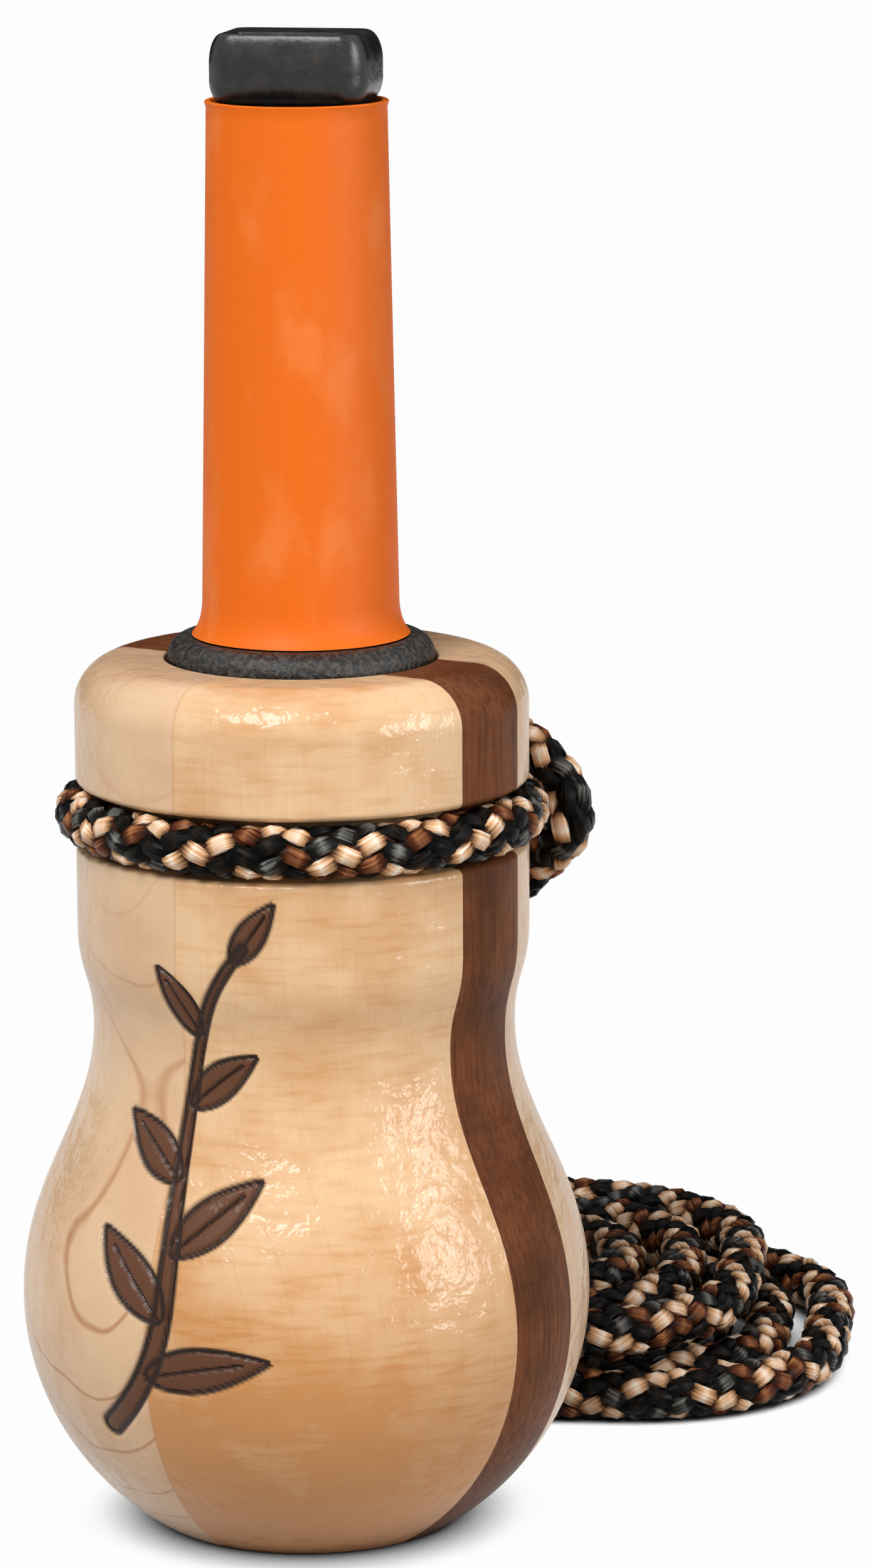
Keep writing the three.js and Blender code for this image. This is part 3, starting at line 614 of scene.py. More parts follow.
@dataclass(frozen=True)
class BraidedYarn:
    """A bundle of polypropylene filaments: lengthwise streaks, painted shade where it dips under
    another, and pale crowns where it crosses over, partly rubbed and partly a painted highlight.

    Real filaments are about 0.05 mm; they are drawn at about 0.3 mm so that they show.

    Attributes:
        name: The material's name.
        colour: The yarn.
        shade: Painted shade where it dips under another.
        light: Its crowns, rubbed pale and lit by a painted highlight.
        streak_mm: Length of the streaks.
        streaks: Number of streaks round the yarn, which is about 4.4 mm round.
    """

    name: str
    colour: str
    shade: str
    light: str
    streak_mm: float = 5.26
    streaks: float = 14.0

    def material(self) -> bpy.types.Material:
        """Builds the node tree.

        Returns:
            The material.
        """
        material, tree = blank_material(self.name)
        along = add(tree, "ShaderNodeAttribute", out="Fac", attribute_name="along")
        about = add(tree, "ShaderNodeAttribute", out="Fac", attribute_name="round")
        slow = add(tree, "ShaderNodeMath", {
            0: along, 1: per_metre(self.streak_mm)[0]}, operation="MULTIPLY")
        fast = add(tree, "ShaderNodeMath", {0: about, 1: self.streaks}, operation="MULTIPLY")
        thread = add(tree, "ShaderNodeCombineXYZ", {"X": slow, "Y": fast})
        streak = add(tree, "ShaderNodeTexNoise", {"Vector": thread, "Scale": 1.0, "Detail": 2.0})
        # Painted shade darkens the dips, and the crowns are rubbed pale under a painted highlight; the
        # streaks break the edges of both
        rise = add(tree, "ShaderNodeAttribute", out="Fac", attribute_name="rise")
        level = add(tree, "ShaderNodeMath", {0: streak, 1: 1.6, 2: rise}, operation="MULTIPLY_ADD")
        deep = add(tree, "ShaderNodeMapRange", {
            "Value": level, "From Min": 1.6, "From Max": 0.6}, interpolation_type="SMOOTHSTEP")
        body = add(tree, "ShaderNodeMix", {
            0: deep, 6: linear(self.colour), 7: linear(self.shade)}, 2, data_type="RGBA")
        worn_and_highlight = add(tree, "ShaderNodeMapRange", {"Value": level, "From Min": 1.4, "From Max": 1.95})
        colour = add(tree, "ShaderNodeMix", {
            0: worn_and_highlight, 6: body, 7: linear(self.light)}, 2, data_type="RGBA")
        skin = add(tree, "ShaderNodeBump", {"Height": streak, "Strength": 0.3, "Distance": 0.2 * MM})
        surface = add(tree, "ShaderNodeBsdfPrincipled", {
            "Base Color": colour, "Roughness": 0.3, "Normal": skin, "IOR": 1.49,
            "Specular IOR Level": 0.05})
        add(tree, "ShaderNodeOutputMaterial", {"Surface": surface})
        return material


# Camera, floor and lamps


@dataclass
class Studio:
    """The camera at the photograph's viewing angle, a pale floor and soft lamps.

    Attributes:
        turn_deg: Turn of the viewer about the axis.
        distance_mm: Viewer's distance from the axis.
        height_mm: Viewer's height.
        aim_side_mm: How far right of the axis the middle of the frame is.
        aim_height_mm: Height of the middle of the frame.
        lens_mm: Focal length for the sensor's long side.
        roll_deg: Roll of the frame.
        sensor_mm: That long side.
        lamp_aim: Height that the lamps face, in metres as the rest.
        floor_half: Half the floor's width.
        floor_drop: How far under the call the floor lies.
        floor_white: Share of the floor that is plain white; the rest takes the shadow.
        shade_reach: How far the floor looks for what shuts it in.
        card_half: Half the dark card's width.
        card_away: Its distance behind the call.
        card_heights: Heights of its lower and upper edges.
        sky_deg: Height in degrees from which the surround is brightest.
        sky_light: Strength of the surround's light from behind and from the viewer's side.
    """

    turn_deg: float = 33.6
    distance_mm: float = 532.0
    height_mm: float = 172.0
    aim_side_mm: float = 11.72
    aim_height_mm: float = 66.0
    lens_mm: float = 141.84
    roll_deg: float = -0.25
    sensor_mm: float = 36.0
    lamp_aim: float = 0.06
    floor_half: float = 6.0
    floor_drop: float = 1e-4
    floor_white: float = 0.975
    shade_reach: float = 0.01
    card_half: float = 1.5
    card_away: float = 0.9
    card_heights: tuple[float, float] = (0.03, 0.75)
    sky_deg: float = 25.0
    sky_light: tuple[float, float] = (0.045, 0.33)

    def build(self) -> None:
        """Makes the camera, the floor, the surround and the lamps."""
        bpy.context.scene.view_settings.view_transform = "Standard"
        self.camera()
        self.floor()
        self.surround()
        self.card()
        self.lamp("lamp_left", azimuth=-28, elevation=48, away=0.95, size=(0.44, 0.4), watts=8.5)
        self.lamp("lamp_right", azimuth=66, elevation=16, away=0.9, size=(0.3, 0.4), watts=3.2)
        window = self.lamp(
            "lamp_window", azimuth=54, elevation=12, away=0.9, size=(0.24, 0.3), watts=1.9)
        window.visible_diffuse = False

    def direction(self, azimuth: float, elevation: float) -> Vector:
        """A direction from the object, turned from the viewer's.

        Args:
            azimuth: Degrees to the viewer's right.
            elevation: Degrees above the floor.

        Returns:
            A unit vector.
        """
        turn, rise = math.radians(self.turn_deg + azimuth), math.radians(elevation)
        flat = math.cos(rise)
        return Vector((math.sin(turn) * flat, -math.cos(turn) * flat, math.sin(rise)))

    def camera(self) -> None:
        """Places the camera."""
        side = self.direction(90, 0)
        spot = self.direction(0, 0) * self.distance_mm * MM + Vector((0, 0, self.height_mm * MM))
        aim = side * self.aim_side_mm * MM + Vector((0, 0, self.aim_height_mm * MM))
        ahead = (aim - spot).normalized()
        right = ahead.cross(Vector((0, 0, 1))).normalized()
        up = right.cross(ahead)
        roll = math.radians(self.roll_deg)
        tilted = right * math.cos(roll) + up * math.sin(roll)
        crown = up * math.cos(roll) - right * math.sin(roll)
        lens = bpy.data.cameras.new("viewer")
        lens.lens = self.lens_mm
        lens.sensor_width = self.sensor_mm
        lens.clip_start = 0.01
        camera = bpy.data.objects.new("viewer", lens)
        turned = Matrix((tilted, crown, -ahead)).transposed().to_4x4()
        camera.matrix_world = Matrix.Translation(spot) @ turned
        bpy.context.scene.collection.objects.link(camera)
        bpy.context.scene.camera = camera

    def lamp(
        self,
        name: str,
        azimuth: float,
        elevation: float,
        away: float,
        size: Sequence[float],
        watts: float,
    ) -> bpy.types.Object:
        """Places a softbox that faces the call.

        Args:
            name: The lamp's name.
            azimuth: Degrees to the viewer's right.
            elevation: Degrees above the floor.
            away: Distance in metres.
            size: Width and height in metres.
            watts: Its power.

        Returns:
            The lamp.
        """
        light = bpy.data.lights.new(name, "AREA")
        light.shape = "RECTANGLE"
        light.size, light.size_y = size
        light.energy = watts
        lamp = bpy.data.objects.new(name, light)
        way = self.direction(azimuth, elevation)
        turned = (-way).to_track_quat("-Z", "Y").to_matrix().to_4x4()
        lamp.matrix_world = Matrix.Translation(way * away + Vector((0, 0, self.lamp_aim))) @ turned
        bpy.context.scene.collection.objects.link(lamp)
        return lamp

    def seen(self, tree: bpy.types.NodeTree) -> bpy.types.NodeSocket:
        """Adds a switch for what the camera, a reflection or clear plastic sees.

        Args:
            tree: The material's or the world's tree.

        Returns:
            1 for those rays and 0 for the light on the object.
        """
        eye = add(tree, "ShaderNodeLightPath", out="Is Camera Ray")
        gloss = add(tree, "ShaderNodeLightPath", out="Is Glossy Ray")
        clear = add(tree, "ShaderNodeLightPath", out="Is Transmission Ray")
        two = add(tree, "ShaderNodeMath", {0: eye, 1: gloss}, operation="MAXIMUM")
        return add(tree, "ShaderNodeMath", {0: two, 1: clear}, operation="MAXIMUM")

    def floor(self) -> None:
        """Lays a white floor that keeps a faint shadow, and the shade of places shut in by the cord."""
        material, tree = blank_material("white_paper_sweep")
        matt = add(tree, "ShaderNodeBsdfDiffuse", {"Color": linear("b4b0aa")})
        shut = add(tree, "ShaderNodeAmbientOcclusion", {"Distance": self.shade_reach}, "AO")
        light = add(tree, "ShaderNodeMapRange", {"Value": shut, "From Min": 0.12, "From Max": 0.42})
        white = add(tree, "ShaderNodeEmission", {"Strength": light})
        share = add(tree, "ShaderNodeMath", {
            0: self.seen(tree), 1: self.floor_white}, operation="MULTIPLY")
        surface = add(tree, "ShaderNodeMixShader", {0: share, 1: matt, 2: white})
        add(tree, "ShaderNodeOutputMaterial", {"Surface": surface})
        mesh = bpy.data.meshes.new("floor")
        signs = ((-1, -1), (1, -1), (1, 1), (-1, 1))
        corners = [(x * self.floor_half, y * self.floor_half, -self.floor_drop) for x, y in signs]
        mesh.from_pydata(corners, [], [(0, 1, 2, 3)])
        mesh.materials.append(material)
        floor = bpy.data.objects.new("floor", mesh)
        bpy.context.scene.collection.objects.link(floor)

    def card(self) -> None:
        """Stands a dark card behind the call for reflections only, so that the top faces stay deep."""
        material, tree = blank_material("black_card")
        matt = add(tree, "ShaderNodeBsdfDiffuse", {"Color": linear("0c0c0c")})
        add(tree, "ShaderNodeOutputMaterial", {"Surface": matt})
        side, back = self.direction(90, 0) * self.card_half, self.direction(180, 0) * self.card_away
        low, high = (Vector((0, 0, z)) for z in self.card_heights)
        mesh = bpy.data.meshes.new("black_card")
        corners = [back - side + low, back + side + low, back + side + high, back - side + high]
        mesh.from_pydata([tuple(c) for c in corners], [], [(0, 1, 2, 3)])
        mesh.materials.append(material)
        card = bpy.data.objects.new("black_card", mesh)
        card.visible_camera = False
        card.visible_diffuse = False
        card.visible_shadow = False
        bpy.context.scene.collection.objects.link(card)

    def surround(self) -> None:
        """Makes the white surround, which lights the call most from the viewer's side."""
        world = bpy.data.worlds.new("white_room")
        world.use_nodes = True
        tree = world.node_tree
        tree.nodes.clear()
        way = add(tree, "ShaderNodeTexCoord", out="Generated")
        front = add(tree, "ShaderNodeVectorMath", {
            0: way, 1: tuple(self.direction(0, self.sky_deg))}, "Value", operation="DOT_PRODUCT")
        least, most = self.sky_light
        light = add(tree, "ShaderNodeMapRange", {
            "Value": front, "From Min": -0.4, "From Max": 0.7, "To Min": least, "To Max": most})
        strength = add(tree, "ShaderNodeMapRange", {"Value": self.seen(tree), "To Min": light})
        back = add(tree, "ShaderNodeBackground", {"Color": (1, 1, 1, 1), "Strength": strength})
        add(tree, "ShaderNodeOutputWorld", {"Surface": back})
        bpy.context.scene.world = world


# Lanyard


class Yarn(Enum):
    """The braid's four yarns."""

    # Each yarn's third colour is its painted shade in the dips, and its fourth the pale of its crowns,
    # part wear and part painted highlight
    TAN = BraidedYarn("polypropylene_yarn_tan", "e4b081", "3c1e10", "fff6e8")
    BROWN = BraidedYarn("polypropylene_yarn_brown", "5a2d19", "1c0b05", "a8714a")
    BLACK = BraidedYarn("polypropylene_yarn_black", "0a0807", "030303", "24201c")
    CHARCOAL = BraidedYarn("polypropylene_yarn_charcoal", "1c1a17", "070706", "807f7c")


@dataclass
class Lanyard:
    """The braided cord: a loop in the groove, a hitch, two legs and a coil on the floor.

    Attributes:
        diameter: Across the braid, in millimetres as the rest.
        lay: Length of one full turn of a yarn.
        yarn_width: Width of a yarn.
        yarn_thickness: Thickness of a yarn.
        carry: Mean radius of a yarn's path.
        weave: How far a yarn rises and dips at each crossing.
        core: Radius of the dark core.
        carriers: The yarns of one sense, in the order that they are loaded.
        step: Distance between the points of the route.
        turn_deg: Turn of the lanyard's lie about the axis.
        groove_radius: Middle of the cord in its groove.
        groove_height: Height of the groove.
        loop_deg: The loop's two ends round the groove.
        turns_in: Turns of the lower layer of the coil.
        climb: Share of a turn in which the cord climbs to the upper layer.
        turns_out: Turns of the upper layer.
        rise_end: Where in the climb the rise is done.
        inner_radius: The coil's innermost half width.
        pitch: Step from turn to turn.
        layer: Step from layer to layer.
        run: Extra length of the coil over its width.
        upper_run: The same for the upper layer, which is shorter at its right end.
        corner: Radius of the coil's corners.
        corner_growth: How much wider the right ones are for each step outwards.
        coil_centre: Middle of the coil in the lanyard's lie.
        coil_turn_deg: Turn of the coil in the lie.
        widen: Share of each half turn in which the coil widens.
        steps_per_turn: Points of the part for each turn of the coil.
        finer: How many times more points there are here.
        stop_short: Share of a turn that the coil's end lacks.
        floor_gap: Air under the coil.
        joint_gap: Gap between the coil's ends and the legs.
        end_step: Share of a turn over which the way at the coil's ends is taken.
        loop_points: Points of the loop in the groove.
        stretch_points: Points from place to place of the hitch and the legs.
        passes: How often the route is smoothed.
        sides: Sides of a yarn's and of the core's section.
    """

    diameter: float = 4.7
    lay: float = 24.0
    yarn_width: float = 1.75
    yarn_thickness: float = 1.05
    carry: float = 1.6
    weave: float = 0.32
    core: float = 1.45
    carriers: tuple[Yarn, ...] = (
        Yarn.TAN, Yarn.BLACK, Yarn.BROWN, Yarn.TAN, Yarn.CHARCOAL, Yarn.BLACK)
    step: float = 0.85
    turn_deg: float = 33.6
    groove_radius: float = 19.45
    groove_height: float = 64.0
    loop_deg: tuple[float, float] = (62.0, -247.0)
    turns_in: float = 2.5
    climb: float = 0.5
    turns_out: float = 3.0
    rise_end: float = 0.6
    inner_radius: float = 9.8
    pitch: float = 5.75
    layer: float = 5.6
    run: float = 16.2
    upper_run: float = 7.6
    corner: float = 9.5
    corner_growth: float = 0.6
    coil_centre: tuple[float, float] = (18.7, 50.9)
    coil_turn_deg: float = -8.0
    widen: float = 0.25
    steps_per_turn: int = 24
    finer: int = 4
    stop_short: float = 1e-4
    floor_gap: float = 0.1
    joint_gap: float = 0.3
    end_step: float = 0.004
    loop_points: int = 150
    stretch_points: int = 14
    passes: int = 6
    sides: int = 6

    def hitch_points(self) -> list[tuple[float, float, float]]:
        """The hitch's places, in the lanyard's lie.

        Returns:
            The places, from the loop's far end round the outside.
        """
        return [
            (-6.8, 18.2, 64), (-5.5, 19.1, 64), (-3.7, 21, 64.4), (-1.2, 22.9, 65.4),
            (2.4, 23.5, 67.2), (6.6, 22.5, 68.8), (11.4, 20.6, 69.4), (16.6, 17.8, 68.4),
            (20.9, 14.5, 65.9), (23.9, 11.9, 62.4), (24.1, 11.8, 60), (22.4, 15, 57),
            (19.2, 18.6, 53.4),
        ]

    def inner_leg_points(self) -> list[tuple[float, float, float]]:
        """The inner leg's places, in the lanyard's lie.

        Returns:
            The places, from under the hitch down to the floor.
        """
        return [
            (8.7, 17.3, 64), (7.6, 18.2, 63.9), (6.3, 20.2, 63.5), (4.8, 22.9, 62.2),
            (3.1, 25.3, 59.2), (0.9, 26.6, 54.2), (-2.6, 27.3, 47), (-6.6, 27.4, 39.4),
            (-11, 26.9, 32.2), (-15.6, 26, 25.4), (-19.9, 25, 18.8), (-21.7, 24.5, 13),
            (-20.3, 24.8, 7.8), (-16.6, 25.8, 3.9), (-11.5, 27, 2.5),
        ]

    def outer_leg_points(self) -> list[tuple[float, float, float]]:
        """The outer leg's places, in the lanyard's lie.

        Returns:
            The places, from the hitch down to the coil's upper layer.
        """
        return [
            (18.9, 18.9, 53), (16.4, 21.4, 48.8), (14.6, 24.2, 43), (13.4, 26.4, 37),
            (12.8, 28, 31), (12.4, 28.7, 25), (11.3, 28.5, 19.6), (9.3, 27.5, 14.7),
            (5.5, 26.3, 10.7),
        ]

    def through(self, points: Sequence[Sequence[float]]) -> np.ndarray:
        """A centripetal spline through places.

        Args:
            points: The places.

        Returns:
            Points along the spline.
        """
        given = np.array(points, float)
        whole = np.vstack([2 * given[0] - given[1], given, 2 * given[-1] - given[-2]])
        share = np.linspace(0, 1, self.stretch_points + 1)[:, None]
        runs = []
        for p0, p1, p2, p3 in zip(whole, whole[1:], whole[2:], whole[3:]):
            gaps = [math.sqrt(np.linalg.norm(b - a)) for a, b in ((p0, p1), (p1, p2), (p2, p3))]
            first = (p1 - p0) / gaps[0] - (p2 - p0) / (gaps[0] + gaps[1]) + (p2 - p1) / gaps[1]
            second = (p2 - p1) / gaps[1] - (p3 - p1) / (gaps[1] + gaps[2]) + (p3 - p2) / gaps[2]
            m1, m2 = first * gaps[1], second * gaps[1]
            cubic = 2 * (p1 - p2) + m1 + m2
            square = 3 * (p2 - p1) - 2 * m1 - m2
            runs.append(((cubic * share + square) * share + m1) * share + p1)
        return np.vstack(runs)

    def growth(self, turns: float) -> float:
        """Turns by which the coil has widened, which it does along its long rows only.

        Args:
            turns: Turns from the near side's left end.

        Returns:
            Those turns, held still round each end.
        """
        half = math.floor(2 * turns)
        return (half + float(smooth(np.array(2 * turns - half), 0, self.widen))) / 2

    def loop_place(self, radius: float, run: float, share: float) -> np.ndarray:
        """A place on one loop of the coil, which has four sides with round corners, wider at the right.

        Args:
            radius: Half the loop's width.
            run: Extra length of the loop over its width.
            share: How far round it is, from 0 to 1.

        Returns:
            The place about the coil's middle.
        """
        quarter = math.floor(share * 4)
        along = share * 4 - quarter
        long = run / 2 + radius
        reach, offset = (long, radius) if quarter % 2 == 0 else (radius, long)
        wide = self.corner + self.corner_growth * (radius - self.inner_radius)
        corners = (wide, wide, self.corner, self.corner)
        entry, leave = corners[quarter - 1], corners[quarter]
        if along < 0.5:
            x, y = entry - reach + 2 * along * (2 * reach - entry - leave), -offset
        else:
            turn = (2 * along - 2) * math.pi / 2
            x = reach - leave + leave * math.cos(turn)
            y = leave - offset + leave * math.sin(turn)
        way = quarter * math.pi / 2
        return np.array([
            x * math.cos(way) - y * math.sin(way),
            x * math.sin(way) + y * math.cos(way),
        ])

    def coil_place(self, turns: float) -> np.ndarray:
        """The middle of the coil's cord after so many turns.

        Args:
            turns: Turns from the near side's left end.

        Returns:
            The place in the lanyard's lie.
        """
        innermost = self.growth(self.turns_in + self.climb / 2)
        radius = self.inner_radius + self.pitch * abs(self.growth(turns) - innermost)
        climbed = np.array((turns - self.turns_in) / self.climb)
        rise = float(smooth(climbed, 0, self.rise_end))
        shorter = (self.run - self.upper_run) * float(smooth(climbed, 0, 1))
        x, y = self.loop_place(radius, self.run - shorter, turns - math.floor(turns))
        x -= shorter / 2
        turn = math.radians(self.coil_turn_deg)
        return np.array([
            x * math.cos(turn) - y * math.sin(turn) + self.coil_centre[0],
            x * math.sin(turn) + y * math.cos(turn) + self.coil_centre[1],
            self.floor_gap + self.diameter / 2 + self.layer * rise,
        ])

    def coil_run(self, steps: int) -> np.ndarray:
        """Points along the whole coil.

        Args:
            steps: Points for each turn.

        Returns:
            The points, from the lower layer's outer end to the upper layer's.
        """
        first, last = self.coil_span()
        count = round((last - first) * steps)
        return np.array([self.coil_place(min(first + i / steps, last)) for i in range(count + 1)])

    def coil_span(self) -> tuple[float, float]:
        """The turns at which the coil starts and ends."""
        turns = self.turns_in + self.climb + self.turns_out
        return 1 / self.steps_per_turn, turns - self.stop_short

    def lead(self, turns: float, past: float) -> list[np.ndarray]:
        """The last two places of a leg, in line with an end of the coil.

        Args:
            turns: Turns at that end.
            past: 1 beyond the coil's end, -1 before its start.

        Returns:
            The far place and the near one.
        """
        end = self.coil_place(turns)
        way = end - self.coil_place(turns - past * self.end_step)
        way /= np.linalg.norm(way)
        near = end + way * (self.diameter + self.joint_gap)
        return [near + way * self.diameter, near]

    def route(self) -> tuple[np.ndarray, int]:
        """The whole cord's middle, evenly spaced, in the part's frame.

        Returns:
            The points, and the number of the one where the hitch passes into the free cord.
        """
        start, end = self.loop_deg
        turn = np.radians(np.linspace(start, end, self.loop_points))
        level = np.full_like(turn, self.groove_height)
        radius = self.groove_radius
        loop = np.column_stack([radius * np.cos(turn), radius * np.sin(turn), level])
        first, last = self.coil_span()
        inner = self.through([*self.inner_leg_points(), *self.lead(first, -1)])
        outer = self.through([*self.outer_leg_points(), *self.lead(last, 1)])
        held = np.vstack([loop, self.through(self.hitch_points())])
        coil = self.coil_run(self.finer * self.steps_per_turn)
        free = np.vstack([outer, coil[::-1], inner[::-1]])
        held_length = np.linalg.norm(np.diff(held, axis=0), axis=1).sum()
        whole = np.vstack([held, free])
        far = np.linalg.norm(np.diff(whole, axis=0), axis=1)
        whole = whole[np.concatenate([[True], far > ROUNDING])]
        run = np.concatenate([[0], np.cumsum(np.linalg.norm(np.diff(whole, axis=0), axis=1))])
        even = np.linspace(0, run[-1], round(run[-1] / self.step) + 1)
        points = np.column_stack([np.interp(even, run, whole[:, k]) for k in range(3)])
        for _ in range(self.passes):
            points[1:-1] = points[1:-1] / 2 + (points[:-2] + points[2:]) / 4
        return spun(points, self.turn_deg), round(held_length / self.step)

    def carried_frame(self, points: np.ndarray) -> tuple[np.ndarray, np.ndarray, np.ndarray]:
        """Directions along and beside the route that don't twist.

        Args:
            points: The route.

        Returns:
            The way and the side at each point, and the length up to it in millimetres.
        """
        way = np.gradient(points, axis=0)
        way /= np.linalg.norm(way, axis=1, keepdims=True)
        side = np.zeros_like(way)
        side[0] = np.cross(way[0], [0, 0, 1])
        side[0] /= np.linalg.norm(side[0])
        for i in range(1, len(points)):
            flat = side[i - 1] - way[i] * (side[i - 1] @ way[i])
            side[i] = flat / np.linalg.norm(flat)
        along = np.concatenate([[0], np.cumsum(np.linalg.norm(np.diff(points, axis=0), axis=1))])
        return way, side, along

    def braid(self) -> bpy.types.NodeTree:
        """Builds the tree that braids two sets of yarns round a route, over one and under one.

        Returns:
            The tree, with the braid's sizes as its inputs.
        """
        count = len(self.carriers)
        tree = bpy.data.node_groups.new("braided_cord", "GeometryNodeTree")
        tree.interface.new_socket("Route", in_out="INPUT", socket_type="NodeSocketGeometry")
        for name in self.braid_sizes():
            tree.interface.new_socket(name, in_out="INPUT", socket_type="NodeSocketFloat")
        tree.interface.new_socket("Cord", in_out="OUTPUT", socket_type="NodeSocketGeometry")
        tree.nodes.new("NodeGroupInput")
        given = tree.nodes[-1].outputs
        route = add(tree, "GeometryNodeMeshToCurve", {"Mesh": given["Route"]})
        carriers = add(tree, "GeometryNodeDuplicateElements", {
            "Geometry": route, "Amount": 2 * count}, domain="SPLINE")
        number = carriers.node.outputs["Duplicate Index"]
        bank = add(tree, "ShaderNodeMath", {0: number, 1: count - 0.5}, operation="GREATER_THAN")
        sense = add(tree, "ShaderNodeMath", {0: bank, 1: -2.0, 2: 1.0}, operation="MULTIPLY_ADD")
        seat = add(tree, "ShaderNodeMath", {0: number, 1: float(count)}, operation="MODULO")
        along = add(tree, "GeometryNodeInputNamedAttribute", {"Name": "along"}, data_type="FLOAT")
        side = add(tree, "GeometryNodeInputNamedAttribute", {"Name": "side"}, data_type="FLOAT_VECTOR")
        way = add(tree, "GeometryNodeInputNamedAttribute", {"Name": "way"}, data_type="FLOAT_VECTOR")
        lays = add(tree, "ShaderNodeMath", {0: along, 1: given["Lay"]}, operation="DIVIDE")
        full = add(tree, "ShaderNodeMath", {0: lays, 1: 2 * math.pi}, operation="MULTIPLY")
        start = add(tree, "ShaderNodeMath", {0: seat, 1: 2 * math.pi / count}, operation="MULTIPLY")
        angle = add(tree, "ShaderNodeMath", {0: full, 1: sense, 2: start}, operation="MULTIPLY_ADD")
        across = add(tree, "ShaderNodeVectorMath", {0: way, 1: side}, operation="CROSS_PRODUCT")
        cosine = add(tree, "ShaderNodeMath", {0: angle}, operation="COSINE")
        sine = add(tree, "ShaderNodeMath", {0: angle}, operation="SINE")
        one = add(tree, "ShaderNodeVectorMath", {0: side, "Scale": cosine}, operation="SCALE")
        two = add(tree, "ShaderNodeVectorMath", {0: across, "Scale": sine}, operation="SCALE")
        radial = add(tree, "ShaderNodeVectorMath", {0: one, 1: two}, operation="ADD")
        cross = add(tree, "ShaderNodeMath", {0: lays, 1: 2 * math.pi * count}, operation="MULTIPLY")
        weave = add(tree, "ShaderNodeMath", {0: cross}, operation="COSINE")
        over = add(tree, "ShaderNodeMath", {0: weave, 1: sense}, operation="MULTIPLY")
        reach = add(tree, "ShaderNodeMath", {
            0: over, 1: given["Weave"], 2: given["Carry radius"]}, operation="MULTIPLY_ADD")
        marked = add(tree, "GeometryNodeStoreNamedAttribute", {
            "Geometry": carriers, "Name": "radial", "Value": radial},
            data_type="FLOAT_VECTOR", domain="POINT")
        loaded = add(tree, "ShaderNodeMath", {0: seat, 1: 1.0}, operation="ADD")
        marked = add(tree, "GeometryNodeStoreNamedAttribute", {
            "Geometry": marked, "Name": "yarn", "Value": loaded}, data_type="FLOAT", domain="POINT")
        # The rise also steers the yarns' painted shade in the dips and painted highlight on the crowns
        marked = add(tree, "GeometryNodeStoreNamedAttribute", {
            "Geometry": marked, "Name": "rise", "Value": over}, data_type="FLOAT", domain="POINT")
        outward = add(tree, "ShaderNodeVectorMath", {0: radial, "Scale": reach}, operation="SCALE")
        moved = add(tree, "GeometryNodeSetPosition", {"Geometry": marked, "Offset": outward})
        facing = add(
            tree, "GeometryNodeInputNamedAttribute", {"Name": "radial"}, data_type="FLOAT_VECTOR")
        faced = add(tree, "GeometryNodeSetCurveNormal", {
            "Curve": moved, "Normal": facing}, mode="FREE")
        disc = add(tree, "GeometryNodeCurvePrimitiveCircle", {
            "Resolution": self.sides, "Radius": 0.5})
        oval = add(tree, "ShaderNodeCombineXYZ", {
            "X": given["Yarn thickness"], "Y": given["Yarn width"], "Z": 1.0})
        section = add(tree, "GeometryNodeTransform", {"Geometry": disc, "Scale": oval})
        share = add(tree, "GeometryNodeSplineParameter", out="Factor")
        section = add(tree, "GeometryNodeStoreNamedAttribute", {
            "Geometry": section, "Name": "round", "Value": share}, data_type="FLOAT", domain="POINT")
        yarns = add(tree, "GeometryNodeCurveToMesh", {
            "Curve": faced, "Profile Curve": section, "Fill Caps": True})
        hub = add(tree, "GeometryNodeCurvePrimitiveCircle", {
            "Resolution": self.sides, "Radius": given["Core radius"]})
        core = add(tree, "GeometryNodeCurveToMesh", {
            "Curve": route, "Profile Curve": hub, "Fill Caps": True})
        cord = add(tree, "GeometryNodeJoinGeometry", {"Geometry": [core, yarns]})
        cord = add(tree, "GeometryNodeRealizeInstances", {"Geometry": cord})
        colours = {yarn: yarn.value.material() for yarn in Yarn}
        cord = add(tree, "GeometryNodeSetMaterial", {"Geometry": cord, "Material": colours[Yarn.BLACK]})
        kind = add(tree, "GeometryNodeInputNamedAttribute", {"Name": "yarn"}, data_type="FLOAT")
        for place, yarn in enumerate(self.carriers, start=1):
            mine = add(tree, "ShaderNodeMath", {0: kind, 1: float(place), 2: 0.1}, operation="COMPARE")
            cord = add(tree, "GeometryNodeSetMaterial", {
                "Geometry": cord, "Selection": mine, "Material": colours[yarn]})
        add(tree, "NodeGroupOutput", {"Cord": cord})
        return tree

    def braid_sizes(self) -> dict[str, float]:
        """The braid's sizes.

        Returns:
            The sizes in metres, by the names of the tree's inputs.
        """
        return {
            "Lay": self.lay * MM,
            "Carry radius": self.carry * MM,
            "Weave": self.weave * MM,
            "Yarn width": self.yarn_width * MM,
            "Yarn thickness": self.yarn_thickness * MM,
            "Core radius": self.core * MM,
        }

